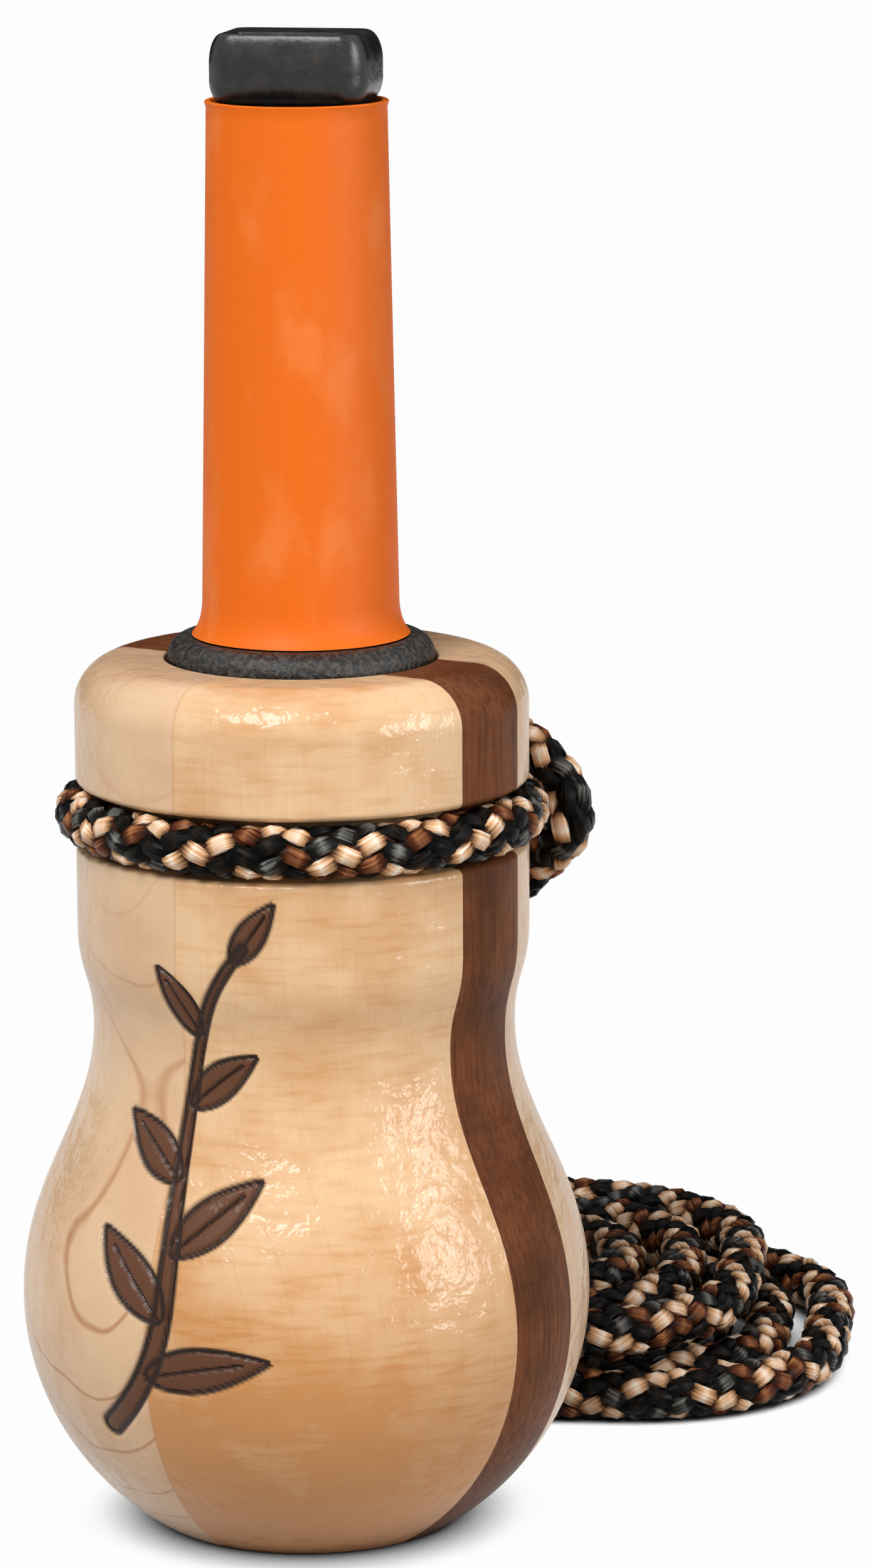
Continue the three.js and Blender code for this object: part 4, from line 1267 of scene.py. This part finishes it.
    def braided(
        self,
        name: str,
        tree: bpy.types.NodeTree,
        points: np.ndarray,
        way: np.ndarray,
        side: np.ndarray,
        along: np.ndarray,
    ) -> bpy.types.Object:
        """Braids one stretch of the cord.

        Args:
            name: The piece's name.
            tree: The braid's tree.
            points: The stretch of the route, in millimetres.
            way: Direction along it.
            side: Direction beside it.
            along: Length of cord up to each point, in millimetres.

        Returns:
            The braid as a plain mesh object.
        """
        line = bpy.data.meshes.new(name + "_line")
        line.from_pydata((points * MM).tolist(), [(i, i + 1) for i in range(len(points) - 1)], [])
        layer = line.attributes.new("along", "FLOAT", "POINT")
        layer.data.foreach_set("value", (along * MM).astype(np.float32))
        for key, values in (("way", way), ("side", side)):
            layer = line.attributes.new(key, "FLOAT_VECTOR", "POINT")
            layer.data.foreach_set("vector", values.astype(np.float32).ravel())
        guide = bpy.data.objects.new(name + "_line", line)
        bpy.context.scene.collection.objects.link(guide)
        braider = guide.modifiers.new("braid", "NODES")
        braider.node_group = tree
        sockets = {s.name: s.identifier for s in tree.interface.items_tree if s.in_out == "INPUT"}
        for key, value in self.braid_sizes().items():
            braider[sockets[key]] = value
        graph = bpy.context.evaluated_depsgraph_get()
        mesh = bpy.data.meshes.new_from_object(guide.evaluated_get(graph), depsgraph=graph)
        bpy.data.objects.remove(guide)
        mesh.name = name
        mesh.shade_smooth()
        piece = bpy.data.objects.new(name, mesh)
        bpy.context.scene.collection.objects.link(piece)
        return piece

    def build(self) -> None:
        """Makes the held loop with its hitch, and the free cord."""
        points, split = self.route()
        way, side, along = self.carried_frame(points)
        tree = self.braid()
        held, free = slice(0, split + 1), slice(split, None)
        noose = self.braided("lanyard_noose", tree, points[held], way[held], side[held], along[held])
        place_piece(noose, "barrel", "cord_braid", "lanyard_groove_loop", "lanyard_hitch")
        cord = self.braided("lanyard_cord", tree, points[free], way[free], side[free], along[free])
        place_piece(
            cord, "barrel", "cord_braid", "lanyard_leg_outer", "lanyard_coil", "lanyard_leg_inner"
        )


# Barrel


@dataclass
class Sprig:
    """A leafy sprig burned in the barrel's front, on a sheet of surface unrolled in millimetres.

    Attributes:
        middle_deg: Angle round the barrel of the sheet's middle line.
        radius: Radius at which the sheet is unrolled.
        stem: Control points of the stem, right and up.
        stem_step: Distance between the points along it.
        stem_half: Half width of the stem at its foot and its tip.
        leaves: Place along the stem, side, length and half width of each leaf.
        leaf_deg: Angle of a leaf to the stem.
        leaf_curl: How far a leaf's tip bends back towards it.
        leaf_form: Powers that set where a leaf is widest and how full it is.
        rib_share: Share of a leaf's length that its midrib takes.
        rib_thin: How much finer than the outline the midrib is.
        line_half: Half width of the burned outline.
        line_edge: Shares of it between which the outline fades.
        fill_edge: Distances inside the edge between which the fill fades in.
        depth: Depth of the outline and of the fill.
        outside: Distance given to places that are nowhere near an edge.
    """

    middle_deg: float = -84.0
    radius: float = 21.5
    stem: tuple[tuple[float, float], ...] = ((-6.5, 13.0), (6.5, 25.0), (-9.0, 40.0), (4.5, 55.5))
    stem_step: float = 0.25
    stem_half: tuple[float, float] = (0.85, 0.4)
    leaves: tuple[tuple[float, float, float, float], ...] = (
        (0.14, 1, 10.5, 1.9),
        (0.27, -1, 10.0, 1.9),
        (0.41, 1, 10.0, 1.8),
        (0.55, -1, 9.0, 1.7),
        (0.69, 1, 8.5, 1.6),
        (0.82, -1, 7.5, 1.4),
        (0.97, 0, 7.0, 1.3),
    )
    leaf_deg: float = 46.0
    leaf_curl: float = 0.9
    leaf_form: tuple[float, float] = (0.8, 0.9)
    rib_share: float = 0.8
    rib_thin: float = 1.6
    line_half: float = 0.26
    line_edge: tuple[float, float] = (0.55, 1.5)
    fill_edge: tuple[float, float] = (-0.12, 0.2)
    depth: tuple[float, float] = (0.22, 0.1)
    outside: float = -99.0

    def masks(self, angle: np.ndarray, height: np.ndarray) -> tuple[np.ndarray, np.ndarray]:
        """How far each point of the barrel is burned.

        Args:
            angle: Angle round the barrel in degrees.
            height: Height in millimetres.

        Returns:
            The outline's and the fill's shares, from 0 to 1.
        """
        u = np.radians(angle - self.middle_deg) * self.radius
        line = np.zeros_like(u)
        fill = np.zeros_like(u)
        path = bezier(self.stem, self.stem_step)
        full, none = (self.line_half * share for share in self.line_edge)
        share = np.linspace(0, 1, len(path))
        for inside in [self.stem_side(u, height, path, share), *self.leaf_sides(u, height, path)]:
            line = np.maximum(line, 1 - smooth(np.abs(inside), full, none))
            fill = np.maximum(fill, smooth(inside, *self.fill_edge))
        return line, fill

    def stem_side(
        self, u: np.ndarray, v: np.ndarray, path: np.ndarray, share: np.ndarray
    ) -> np.ndarray:
        """Distance inside the stem's edge, negative outside.

        Args:
            u: Places to the right.
            v: Places up.
            path: Points along the stem.
            share: Their share of its length.

        Returns:
            The distances in millimetres.
        """
        best = np.full_like(u, self.outside)
        half = self.stem_half[0] + (self.stem_half[1] - self.stem_half[0]) * share
        for (x, y), wide in zip(path, half):
            best = np.maximum(best, wide - np.hypot(u - x, v - y))
        return best

    def leaf_sides(self, u: np.ndarray, v: np.ndarray, path: np.ndarray) -> list[np.ndarray]:
        """Distance inside each leaf's edge, and inside its midrib.

        Args:
            u: Places to the right.
            v: Places up.
            path: Points along the stem.

        Returns:
            The distances in millimetres, negative outside.
        """
        found = []
        widest, fullness = self.leaf_form
        for share, side, length, half in self.leaves:
            at = min(int(share * (len(path) - 1)), len(path) - 2)
            way = path[at + 1] - path[at]
            turn = math.atan2(way[1], way[0]) - side * math.radians(self.leaf_deg)
            along = (u - path[at][0]) * math.cos(turn) + (v - path[at][1]) * math.sin(turn)
            across = (v - path[at][1]) * math.cos(turn) - (u - path[at][0]) * math.sin(turn)
            across = across + side * self.leaf_curl * (along / length) ** 2
            reach = np.clip(along / length, 0, 1)
            edge = half * np.sin(math.pi * reach**widest) ** fullness
            on_leaf = (along > 0) & (along < length)
            found.append(np.where(on_leaf, edge - np.abs(across), self.outside))
            on_rib = (along > 0) & (along < length * self.rib_share)
            found.append(np.where(on_rib, -np.abs(across) * self.rib_thin, self.outside))
        return found


@dataclass
class Barrel:
    """The turned barrel: four quarters of maple and a walnut strip in two halves.

    Attributes:
        height: Height of the wood, in millimetres as the rest.
        radius: Radius of the straight top.
        shoulder: Radius of the shoulder's round.
        base: Radius of the flat base.
        bulb: Greatest radius.
        bulb_height: Height of the greatest radius.
        bulb_sweep: Pull of the curve above the bulb.
        waist: Radius of the waist.
        waist_height: Its height.
        waist_sweep: Pull of the curve below the waist.
        waist_rise: Height in which the waist widens to the top.
        groove_height: Height of the lanyard's groove.
        groove_middle: Radius of the groove's centre line.
        groove: Radius of the groove's section.
        lip: Height of the groove's turned lips.
        lip_ease: How far a lip's round starts on the wall, and its pull.
        chamber: Radius of the sound chamber.
        chamber_depth: Its depth.
        chamfer: Chamfer of the sound mouth.
        socket: Radius of the stem's socket.
        seat: Radius of the ring's seat.
        seat_floor: Height of the seat's floor.
        seat_draft: Draft of the seat's wall.
        seat_ease: Ease of the seat's edge.
        strip: Thickness of the walnut.
        front_step: Distance between the front blocks' points, fine enough for the sprig.
        rear_step: The same for the rear blocks.
        strip_step: The same for the strip.
        round_step: The same for the groove and the shoulder.
        lip_step: The same for the lips.
        strip_spare: How many times its thickness the strip's arc is taken to be.
        sharp_deg: Edges over this angle stay sharp.
    """

    height: float = 77.6
    radius: float = 19.9
    shoulder: float = 4.0
    base: float = 13.6
    bulb: float = 25.2
    bulb_height: float = 20.5
    bulb_sweep: float = 10.5
    waist: float = 18.6
    waist_height: float = 45.0
    waist_sweep: float = 9.0
    waist_rise: float = 9.0
    groove_height: float = 64.0
    groove_middle: float = 19.45
    groove: float = 2.65
    lip: float = 0.35
    lip_ease: tuple[float, float] = (0.3, 0.15)
    chamber: float = 9.5
    chamber_depth: float = 36.0
    chamfer: float = 0.8
    socket: float = 8.2
    seat: float = 12.0
    seat_floor: float = 76.1
    seat_draft: float = 0.15
    seat_ease: float = 0.12
    strip: float = 9.0
    front_step: float = 0.24
    rear_step: float = 0.7
    strip_step: float = 0.6
    round_step: float = 0.4
    lip_step: float = 0.15
    strip_spare: float = 1.4
    sharp_deg: float = 32.0

    def outside(self, step: float) -> np.ndarray:
        """The turned outside, from the base to the shoulder's top.

        Args:
            step: About the distance between points.

        Returns:
            Radius and height of each point.
        """
        lower = self.bulb_height / math.sqrt(1 - (self.base / self.bulb) ** 2)
        start = math.asin(self.bulb_height / lower)
        top = self.waist_height + self.waist_rise
        low_lip = self.groove_height - self.groove - self.lip
        high_lip = self.groove_height + self.groove + self.lip
        start_off, pull = self.lip_ease
        fine = min(step, self.round_step)
        return joined([
            arc((0, self.bulb_height), (self.bulb, lower), -start, 0, step),
            bezier([
                (self.bulb, self.bulb_height), (self.bulb, self.bulb_height + self.bulb_sweep),
                (self.waist, self.waist_height - self.waist_sweep),
                (self.waist, self.waist_height)], step),
            bezier([
                (self.waist, self.waist_height), (self.waist, self.waist_height + self.waist_rise / 2),
                (self.radius, top - self.waist_rise / 2), (self.radius, top)], step),
            bezier([
                (self.radius, low_lip - start_off), (self.radius, low_lip + pull),
                (self.groove_middle, self.groove_height - self.groove)], self.lip_step),
            arc((self.groove_middle, self.groove_height), (self.groove, self.groove),
                -math.pi / 2, -3 * math.pi / 2, fine),
            bezier([
                (self.groove_middle, self.groove_height + self.groove),
                (self.radius, high_lip - pull), (self.radius, high_lip + start_off)], self.lip_step),
            arc((self.radius - self.shoulder, self.height - self.shoulder),
                (self.shoulder, self.shoulder), 0, math.pi / 2, fine),
        ], step)

    def inside(self) -> np.ndarray:
        """The top face, the ring's seat and the bore, down to the base.

        Returns:
            Radius and height of each point.
        """
        step = self.chamber - self.socket
        return np.array([
            (self.seat + self.seat_ease, self.height),
            (self.seat, self.height - self.seat_ease),
            (self.seat - self.seat_draft, self.seat_floor),
            (self.socket, self.seat_floor - self.seat_draft),
            (self.socket, self.chamber_depth + step),
            (self.chamber, self.chamber_depth),
            (self.chamber, self.chamfer),
            (self.chamber + self.chamfer, 0.0),
        ])

    def block(
        self,
        node: str,
        slot: str,
        signs: tuple[int, int],
        finish: LacqueredWood,
        step: float,
        sprig: Sprig | None = None,
    ) -> None:
        """Makes one block and stands it for its CAD node.

        Args:
            node: The CAD node's name.
            slot: The record's material slot.
            signs: Signs of X and Y of a quarter; the second is 0 for a half of the strip.
            finish: Its wood.
            step: Distance between points of the outside.
            sprig: The burned sprig, where the block carries it.
        """
        outside = self.outside(step)
        outline = np.vstack([outside, self.inside()])
        half = self.strip / 2
        limit = np.arcsin(half / outline[:, 0])
        low, high = (limit, np.full_like(limit, math.pi / 2)) if signs[1] else (-limit, limit)
        widest = self.bulb * math.pi / 2 if signs[1] else self.strip * self.strip_spare
        count = math.ceil(widest / step)
        share = np.linspace(0, 1, count + 1)
        turn = low[:, None] + (high - low)[:, None] * share
        radius = np.repeat(outline[:, :1], count + 1, axis=1)
        height = np.repeat(outline[:, 1:], count + 1, axis=1)
        x = signs[0] * radius * np.cos(turn)
        y = (signs[1] or 1) * radius * np.sin(turn)
        attributes = {}
        if sprig:
            line, fill = self.burn(sprig, len(outside), x, y, height)
            slope = np.gradient(outline, axis=0)
            slope /= np.maximum(np.linalg.norm(slope, axis=1, keepdims=True), 1e-9)
            sink = sprig.depth[0] * line + sprig.depth[1] * fill
            x = x * (1 - sink * slope[:, 1:] / radius)
            y = y * (1 - sink * slope[:, 1:] / radius)
            height = height + sink * slope[:, :1]
            attributes = {"burn_line": line.ravel(), "burn_fill": fill.ravel()}
        points = np.stack([x, y, height], axis=-1).reshape(-1, 3)
        rows = len(outline)
        faces = grid_faces(rows, count + 1, True, False)
        faces.append([i * (count + 1) for i in range(rows)])
        faces.append([i * (count + 1) + count for i in reversed(range(rows))])
        piece = make_piece(
            "lacquered_" + node, points, faces, finish.material(), self.sharp_deg, attributes)
        place_piece(piece, "barrel", slot, node)

    def burn(
        self, sprig: Sprig, rows: int, x: np.ndarray, y: np.ndarray, height: np.ndarray
    ) -> tuple[np.ndarray, np.ndarray]:
        """The sprig's outline and fill on the outside of a block.

        Args:
            sprig: The sprig.
            rows: Number of rows that are on the outside.
            x: Places of the block's points.
            y: The same across.
            height: Their heights.

        Returns:
            The two shares at each point.
        """
        line, fill = np.zeros_like(x), np.zeros_like(x)
        angle = np.degrees(np.arctan2(y[:rows], x[:rows]))
        line[:rows], fill[:rows] = sprig.masks(angle, height[:rows])
        return line, fill

    def build(self) -> None:
        """Makes the six blocks."""
        # Each wood's foot share sets how strongly a painted shade darkens its foot
        maple = {"ring_mm": 3.4, "fibre_share": 0.14}
        pale = {"pale": "e0bd98", "dark": "c99c73", "line": "aa6c3a", "foot_shade_share": 0.1, **maple}
        warm = {"pale": "e6c196", "dark": "c98d52", "line": "a86f37", "foot_shade_share": 0.9, **maple}
        walnut = {
            "pale": "7c492c", "dark": "482717", "line": "2e170c", "coat": 0.08, "glue_line": False,
            "ring_mm": 1.9, "ring_share": 0.45, "patch_share": 0.6, "fleck_share": 0.2,
            "foot_shade_share": 0.0, "fibre_share": 0.75}
        sprig = Sprig()
        self.block("maple_quarter_front_left", "pale_maple", (-1, -1), LacqueredWood(
            "lacquered_maple_pale_front", ring_share=0.75, patch_share=0.4, fleck_share=0.1,
            lean_deg=(20, -4, 106), shift_mm=(2.3, 0, 3), burned=True, **pale), self.front_step, sprig)
        self.block("maple_quarter_front_right", "warm_maple", (1, -1), LacqueredWood(
            "lacquered_maple_warm_front", ring_share=0.1, patch_share=0.48, fleck_share=0.3,
            lean_deg=(-6, 5, -48), shift_mm=(31, 7, 11), burned=True, **warm), self.front_step, sprig)
        self.block("maple_quarter_rear_left", "pale_maple", (-1, 1), LacqueredWood(
            "lacquered_maple_pale_rear_left", ring_share=0.4, patch_share=0.35, fleck_share=0.2,
            lean_deg=(8, 6, -70), shift_mm=(57, 23, 5), **pale), self.rear_step)
        self.block("maple_quarter_rear_right", "pale_maple", (1, 1), LacqueredWood(
            "lacquered_maple_pale_rear_right", ring_share=0.35, patch_share=0.4, fleck_share=0.2,
            lean_deg=(-9, 4, 40), shift_mm=(83, 41, 17), **pale), self.rear_step)
        self.block("walnut_strip_left", "walnut", (-1, 0), LacqueredWood(
            "lacquered_walnut_left", lean_deg=(2, 3, 84), shift_mm=(109, 3, 29), **walnut),
            self.strip_step)
        self.block("walnut_strip_right", "walnut", (1, 0), LacqueredWood(
            "lacquered_walnut_right", lean_deg=(-3, 2, 78), shift_mm=(131, 13, 37), **walnut),
            self.strip_step)


# Mouthpiece


@dataclass
class Mouthpiece:
    """The push-in mouthpiece: stem and seals, ring, sleeve, tip, and the reed's parts inside.

    Attributes:
        turn_deg: Turn of the mouthpiece in its bore.
        stem: Radius of the stem, in millimetres as the rest.
        stem_bore: Radius of its air way.
        stem_bottom: Height of its lower end.
        stem_top: Height of its upper end.
        seal: Thickness of a seal.
        seal_middle: Radius of a seal's middle line.
        seal_heights: Heights of the two seals.
        seal_play: Room in the seals' grooves.
        seal_step: Distance between the points of a seal's section.
        seal_segments: Steps round a seal.
        ring: Thickness of the base ring.
        ring_middle: Radius of its middle line.
        ring_height: Height of its middle line.
        ring_foot: Height of its flat foot.
        ring_step: Distance between the points of its section.
        ring_segments: Steps round it.
        wall: Thickness of the sleeve.
        sleeve_bottom: Height of the sleeve's foot.
        sleeve_top: Height of its mouth.
        sleeve_foot: Radius above the flare.
        sleeve_mouth: Radius at the mouth.
        flare: Extra radius of the foot.
        flare_height: Height of the flare.
        flare_step: Distance between the flare's points.
        sleeve_step: The same for the straight wall.
        sleeve_play: Room between the stem's top and the sleeve.
        rim: Extra radius of the mouth's rim.
        rim_ease: Ease of the rim's edge.
        mouth_thin: How much thinner the wall is at the mouth's edge.
        tip_size: Width and depth of the tip block.
        tip_height: Its height.
        tip_sink: How far its foot sits in the sleeve's mouth.
        tip_corner: Radius of its upright edges.
        tip_bevel: How far its foot draws in, and the height in which it does.
        tip_ease: How far its top draws in, and the height in which it does.
        tip_lean: How far the top's middle stands forward, so that the slot keeps its edge.
        plug: Radius and length of the plug.
        slot: Width and gap of the blowing slot.
        slot_forward: How far in front of the axis the slot is.
        slot_corner: Radius of its corners.
        slot_lip: Spread and depth of the rings of its rounded lip.
        ease: Ease of the stem's and the plug's edges.
        bevel_rings: Rings of the tip's foot.
        ease_rings: Rings of its top.
        corner_points: Points of each of its upright edges.
        segments: Steps round the stem and the sleeve.
        sharp_deg: Edges over this angle stay sharp.
    """

    turn_deg: float = 21.6
    stem: float = 7.95
    stem_bore: float = 4.75
    stem_bottom: float = 55.6
    stem_top: float = 92.0
    seal: float = 1.8
    seal_middle: float = 7.18
    seal_heights: tuple[float, float] = (60.1, 69.1)
    seal_play: float = 0.2
    seal_step: float = 0.25
    seal_segments: int = 96
    ring: float = 3.6
    ring_middle: float = 9.9
    ring_height: float = 77.75
    ring_foot: float = 76.2
    ring_step: float = 0.2
    ring_segments: int = 160
    wall: float = 0.6
    sleeve_bottom: float = 79.65
    sleeve_top: float = 126.05
    sleeve_foot: float = 8.6
    sleeve_mouth: float = 7.8
    flare: float = 0.95
    flare_height: float = 3.2
    flare_step: float = 0.2
    sleeve_step: float = 0.8
    sleeve_play: float = 0.05
    rim: float = 0.15
    rim_ease: float = 0.1
    mouth_thin: float = 0.2
    tip_size: tuple[float, float] = (13.9, 10.6)
    tip_height: float = 6.2
    tip_sink: float = 0.3
    tip_corner: float = 2.3
    tip_bevel: tuple[float, float] = (1.4, 2.1)
    tip_ease: tuple[float, float] = (1.3, 2.6)
    tip_lean: float = 0.75
    plug: tuple[float, float] = (7.1, 4.0)
    slot: tuple[float, float] = (9.0, 2.2)
    slot_forward: float = 3.2
    slot_corner: float = 0.5
    slot_lip: tuple[tuple[float, float], ...] = ((0.12, 0.0), (0.04, 0.06), (0.0, 0.2))
    ease: float = 0.3
    bevel_rings: int = 12
    ease_rings: int = 16
    corner_points: int = 11
    segments: int = 128
    sharp_deg: float = 34.0

    def turned(
        self, name: str, outline: np.ndarray, material: bpy.types.Material, segments: int
    ) -> bpy.types.Object:
        """Turns a closed outline about the axis.

        Args:
            name: The piece's name.
            outline: Radius and height of each point.
            material: Its material.
            segments: Steps of the turn.

        Returns:
            The piece.
        """
        turn = np.linspace(0, 2 * math.pi, segments, endpoint=False)
        radius, height = outline[:, :1], outline[:, 1:]
        points = np.stack([
            radius * np.cos(turn), radius * np.sin(turn), np.repeat(height, segments, axis=1)], axis=-1)
        faces = grid_faces(len(outline), segments, True, True)
        return make_piece(name, points.reshape(-1, 3), faces, material, self.sharp_deg)

    def sleeve_radius(self, height: float) -> float:
        """Outside radius of the sleeve's straight taper.

        Args:
            height: The height at which it is wanted.

        Returns:
            The radius.
        """
        foot = self.sleeve_bottom + self.flare_height
        share = (height - foot) / (self.sleeve_top - foot)
        return self.sleeve_foot + (self.sleeve_mouth - self.sleeve_foot) * share

    def build(self) -> None:
        """Makes every piece of the mouthpiece."""
        self.build_stem()
        self.build_ring()
        self.build_sleeve()
        self.build_tip()
        self.dress_inside()

    def build_stem(self) -> None:
        """Makes the stem and its two seals."""
        floor = self.seal_middle - self.seal / 2 - self.seal_play
        half = self.seal / 2 + self.seal_play
        outline = [(self.stem_bore, self.stem_bottom), (self.stem - self.ease, self.stem_bottom),
                   (self.stem, self.stem_bottom + self.ease)]
        for height in self.seal_heights:
            outline += [(self.stem, height - half), (floor, height - half),
                        (floor, height + half), (self.stem, height + half)]
        outline += [
            (self.stem, self.sleeve_bottom + self.flare_height),
            (self.sleeve_radius(self.stem_top) - self.wall - self.sleeve_play, self.stem_top),
            (self.stem_bore, self.stem_top),
        ]
        plastic = MouldedBlack("moulded_abs_black", "1b1918", "34312f", 0.4, (0.28, 0.42), 0.5, 0.08)
        stem = self.turned("moulded_stem", np.array(outline), plastic.material(), self.segments)
        place_piece(stem, "mouthpiece", "stem_plastic", "mouthpiece_stem")
        rubber = MouldedBlack("nitrile_rubber_black", "161514", "302e2c", 0.5, (0.5, 0.7), 0.3, 0.12)
        skin = rubber.material()
        for name, height in zip(("stem_seal_lower", "stem_seal_upper"), self.seal_heights):
            half = self.seal / 2
            section = arc(
                (self.seal_middle, height), (half, half), 0, 2 * math.pi, self.seal_step)[:-1]
            seal = self.turned("rubber_" + name, section, skin, self.seal_segments)
            place_piece(seal, "stem_seals", "seal_rubber", name)

    def build_ring(self) -> None:
        """Makes the base ring."""
        half = self.ring / 2
        section = arc(
            (self.ring_middle, self.ring_height), (half, half), 0, 2 * math.pi, self.ring_step)[:-1]
        section[:, 1] = np.maximum(section[:, 1], self.ring_foot)
        rubber = MouldedBlack("moulded_rubber_ring", "100f0e", "645d55", 0.7, (0.28, 0.6), 0.5, 0.6)
        ring = self.turned("rubber_base_ring", section, rubber.material(), self.ring_segments)
        place_piece(ring, "mouthpiece", "ring_rubber", "base_ring")

    def build_sleeve(self) -> None:
        """Makes the bite sleeve."""
        foot = self.sleeve_bottom + self.flare_height
        rim_foot = self.sleeve_top - self.wall
        outside = joined([
            bezier([
                (self.sleeve_foot + self.flare, self.sleeve_bottom),
                (self.sleeve_foot, self.sleeve_bottom + self.flare_height / 3),
                (self.sleeve_foot, foot)], self.flare_step),
            np.array([
                (self.sleeve_radius(rim_foot), rim_foot),
                (self.sleeve_mouth + self.rim, self.sleeve_top - self.rim_ease),
                (self.sleeve_mouth + self.rim - self.rim_ease, self.sleeve_top)]),
        ], self.sleeve_step)
        inside = (outside - [self.wall, 0.0])[::-1]
        inside[0, 0] += self.mouth_thin
        wall = np.vstack([outside, inside])
        sleeve = self.turned("latex_bite_sleeve", wall, DippedLatex().material(), self.segments)
        place_piece(sleeve, "mouthpiece", "sleeve_latex", "bite_sleeve")

    def rounded(
        self, width: float, depth: float, corner: float, forward: float, height: float
    ) -> np.ndarray:
        """A ring of points of a rectangle with round corners.

        Args:
            width: Its width.
            depth: Its depth.
            corner: Radius of its corners.
            forward: How far in front of the axis its middle is.
            height: Its height.

        Returns:
            The points, the same number for any size.
        """
        steps = np.linspace(0, math.pi / 2, self.corner_points)
        runs = []
        for i, (sx, sy) in enumerate(((1, 1), (-1, 1), (-1, -1), (1, -1))):
            turn = steps + i * math.pi / 2
            runs.append(np.column_stack([
                sx * (width / 2 - corner) + corner * np.cos(turn),
                sy * (depth / 2 - corner) + corner * np.sin(turn) - forward,
                np.full_like(turn, height),
            ]))
        return np.vstack(runs)

    def plug_ring(self, radius: float, height: float) -> np.ndarray:
        """A round ring whose points stand in the same directions as the block's.

        Args:
            radius: Its radius.
            height: Its height.

        Returns:
            The points.
        """
        ring = self.rounded(*self.tip_size, self.tip_corner, 0, height)
        turn = np.arctan2(ring[:, 1], ring[:, 0])
        return np.column_stack([radius * np.cos(turn), radius * np.sin(turn), ring[:, 2]])

    def tip_ring(self, inset: float, height: float, forward: float = 0.0) -> np.ndarray:
        """A ring round the tip block.

        Args:
            inset: How far it is drawn in.
            height: Its height.
            forward: How far in front of the axis its middle is.

        Returns:
            The points.
        """
        width, depth = self.tip_size
        corner = self.tip_corner - inset
        return self.rounded(width - 2 * inset, depth - 2 * inset, corner, forward, height)

    def slot_ring(self, spread: float, height: float) -> np.ndarray:
        """A ring round the blowing slot.

        Args:
            spread: How far it is widened.
            height: Its height.

        Returns:
            The points.
        """
        width, gap = self.slot
        corner = self.slot_corner + spread
        return self.rounded(width + 2 * spread, gap + 2 * spread, corner, self.slot_forward, height)

    def build_tip(self) -> None:
        """Makes the tip block on its plug, with the slot down through both."""
        bottom = self.sleeve_top - self.tip_sink
        top = bottom + self.tip_height
        radius, length = self.plug
        foot = self.sleeve_top - length
        rings = [
            self.plug_ring(radius - self.ease, foot),
            self.plug_ring(radius, foot + self.ease),
            self.plug_ring(radius, bottom - self.ease),
        ]
        for turn in np.linspace(math.pi / 2, 0, self.bevel_rings):
            inset = self.tip_bevel[0] * (1 - math.cos(turn))
            rings.append(self.tip_ring(inset, bottom + self.tip_bevel[1] * (1 - math.sin(turn))))
        for turn in np.linspace(0, math.pi / 2, self.ease_rings):
            inset = self.tip_ease[0] * (1 - math.cos(turn))
            height = top - self.tip_ease[1] * (1 - math.sin(turn))
            rings.append(self.tip_ring(inset, height, self.tip_lean * (1 - math.cos(turn))))
        rings += [self.slot_ring(spread, top - drop) for spread, drop in self.slot_lip]
        rings.append(self.slot_ring(0.0, foot))
        points = spun(np.vstack(rings), self.turn_deg)
        faces = grid_faces(len(rings), len(rings[0]), True, True)
        plastic = MouldedBlack("gloss_abs_black", "1b1917", "3a3632", 0.6, (0.2, 0.42), 1.6, 0.25)
        tip = make_piece("moulded_mouth_tip", points, faces, plastic.material(), self.sharp_deg)
        place_piece(tip, "tip", "tip_plastic", "mouth_tip")

    def dress_inside(self) -> None:
        """Gives the hidden tone board, wedge and reed their finishes."""
        board = MouldedBlack("moulded_acetal_grey", "38383a", "55555a", 0.5, (0.25, 0.4), 0.4, 0.06)
        wedge = MouldedBlack("cut_rubber_black", "191817", "353331", 0.5, (0.5, 0.75), 0.3, 0.2)
        for node, finish in (("tone_board", board), ("reed_wedge", wedge), ("reed", PolyesterFilm())):
            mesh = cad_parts[node].data
            mesh.materials.clear()
            mesh.materials.append(finish.material())
            LOG.info("%s: dressed", node)


def main() -> None:
    logging.basicConfig(level=logging.INFO, format="%(message)s")
    Studio().build()
    Lanyard().build()
    Barrel().build()
    Mouthpiece().build()


if __name__ == "__main__":
    main()
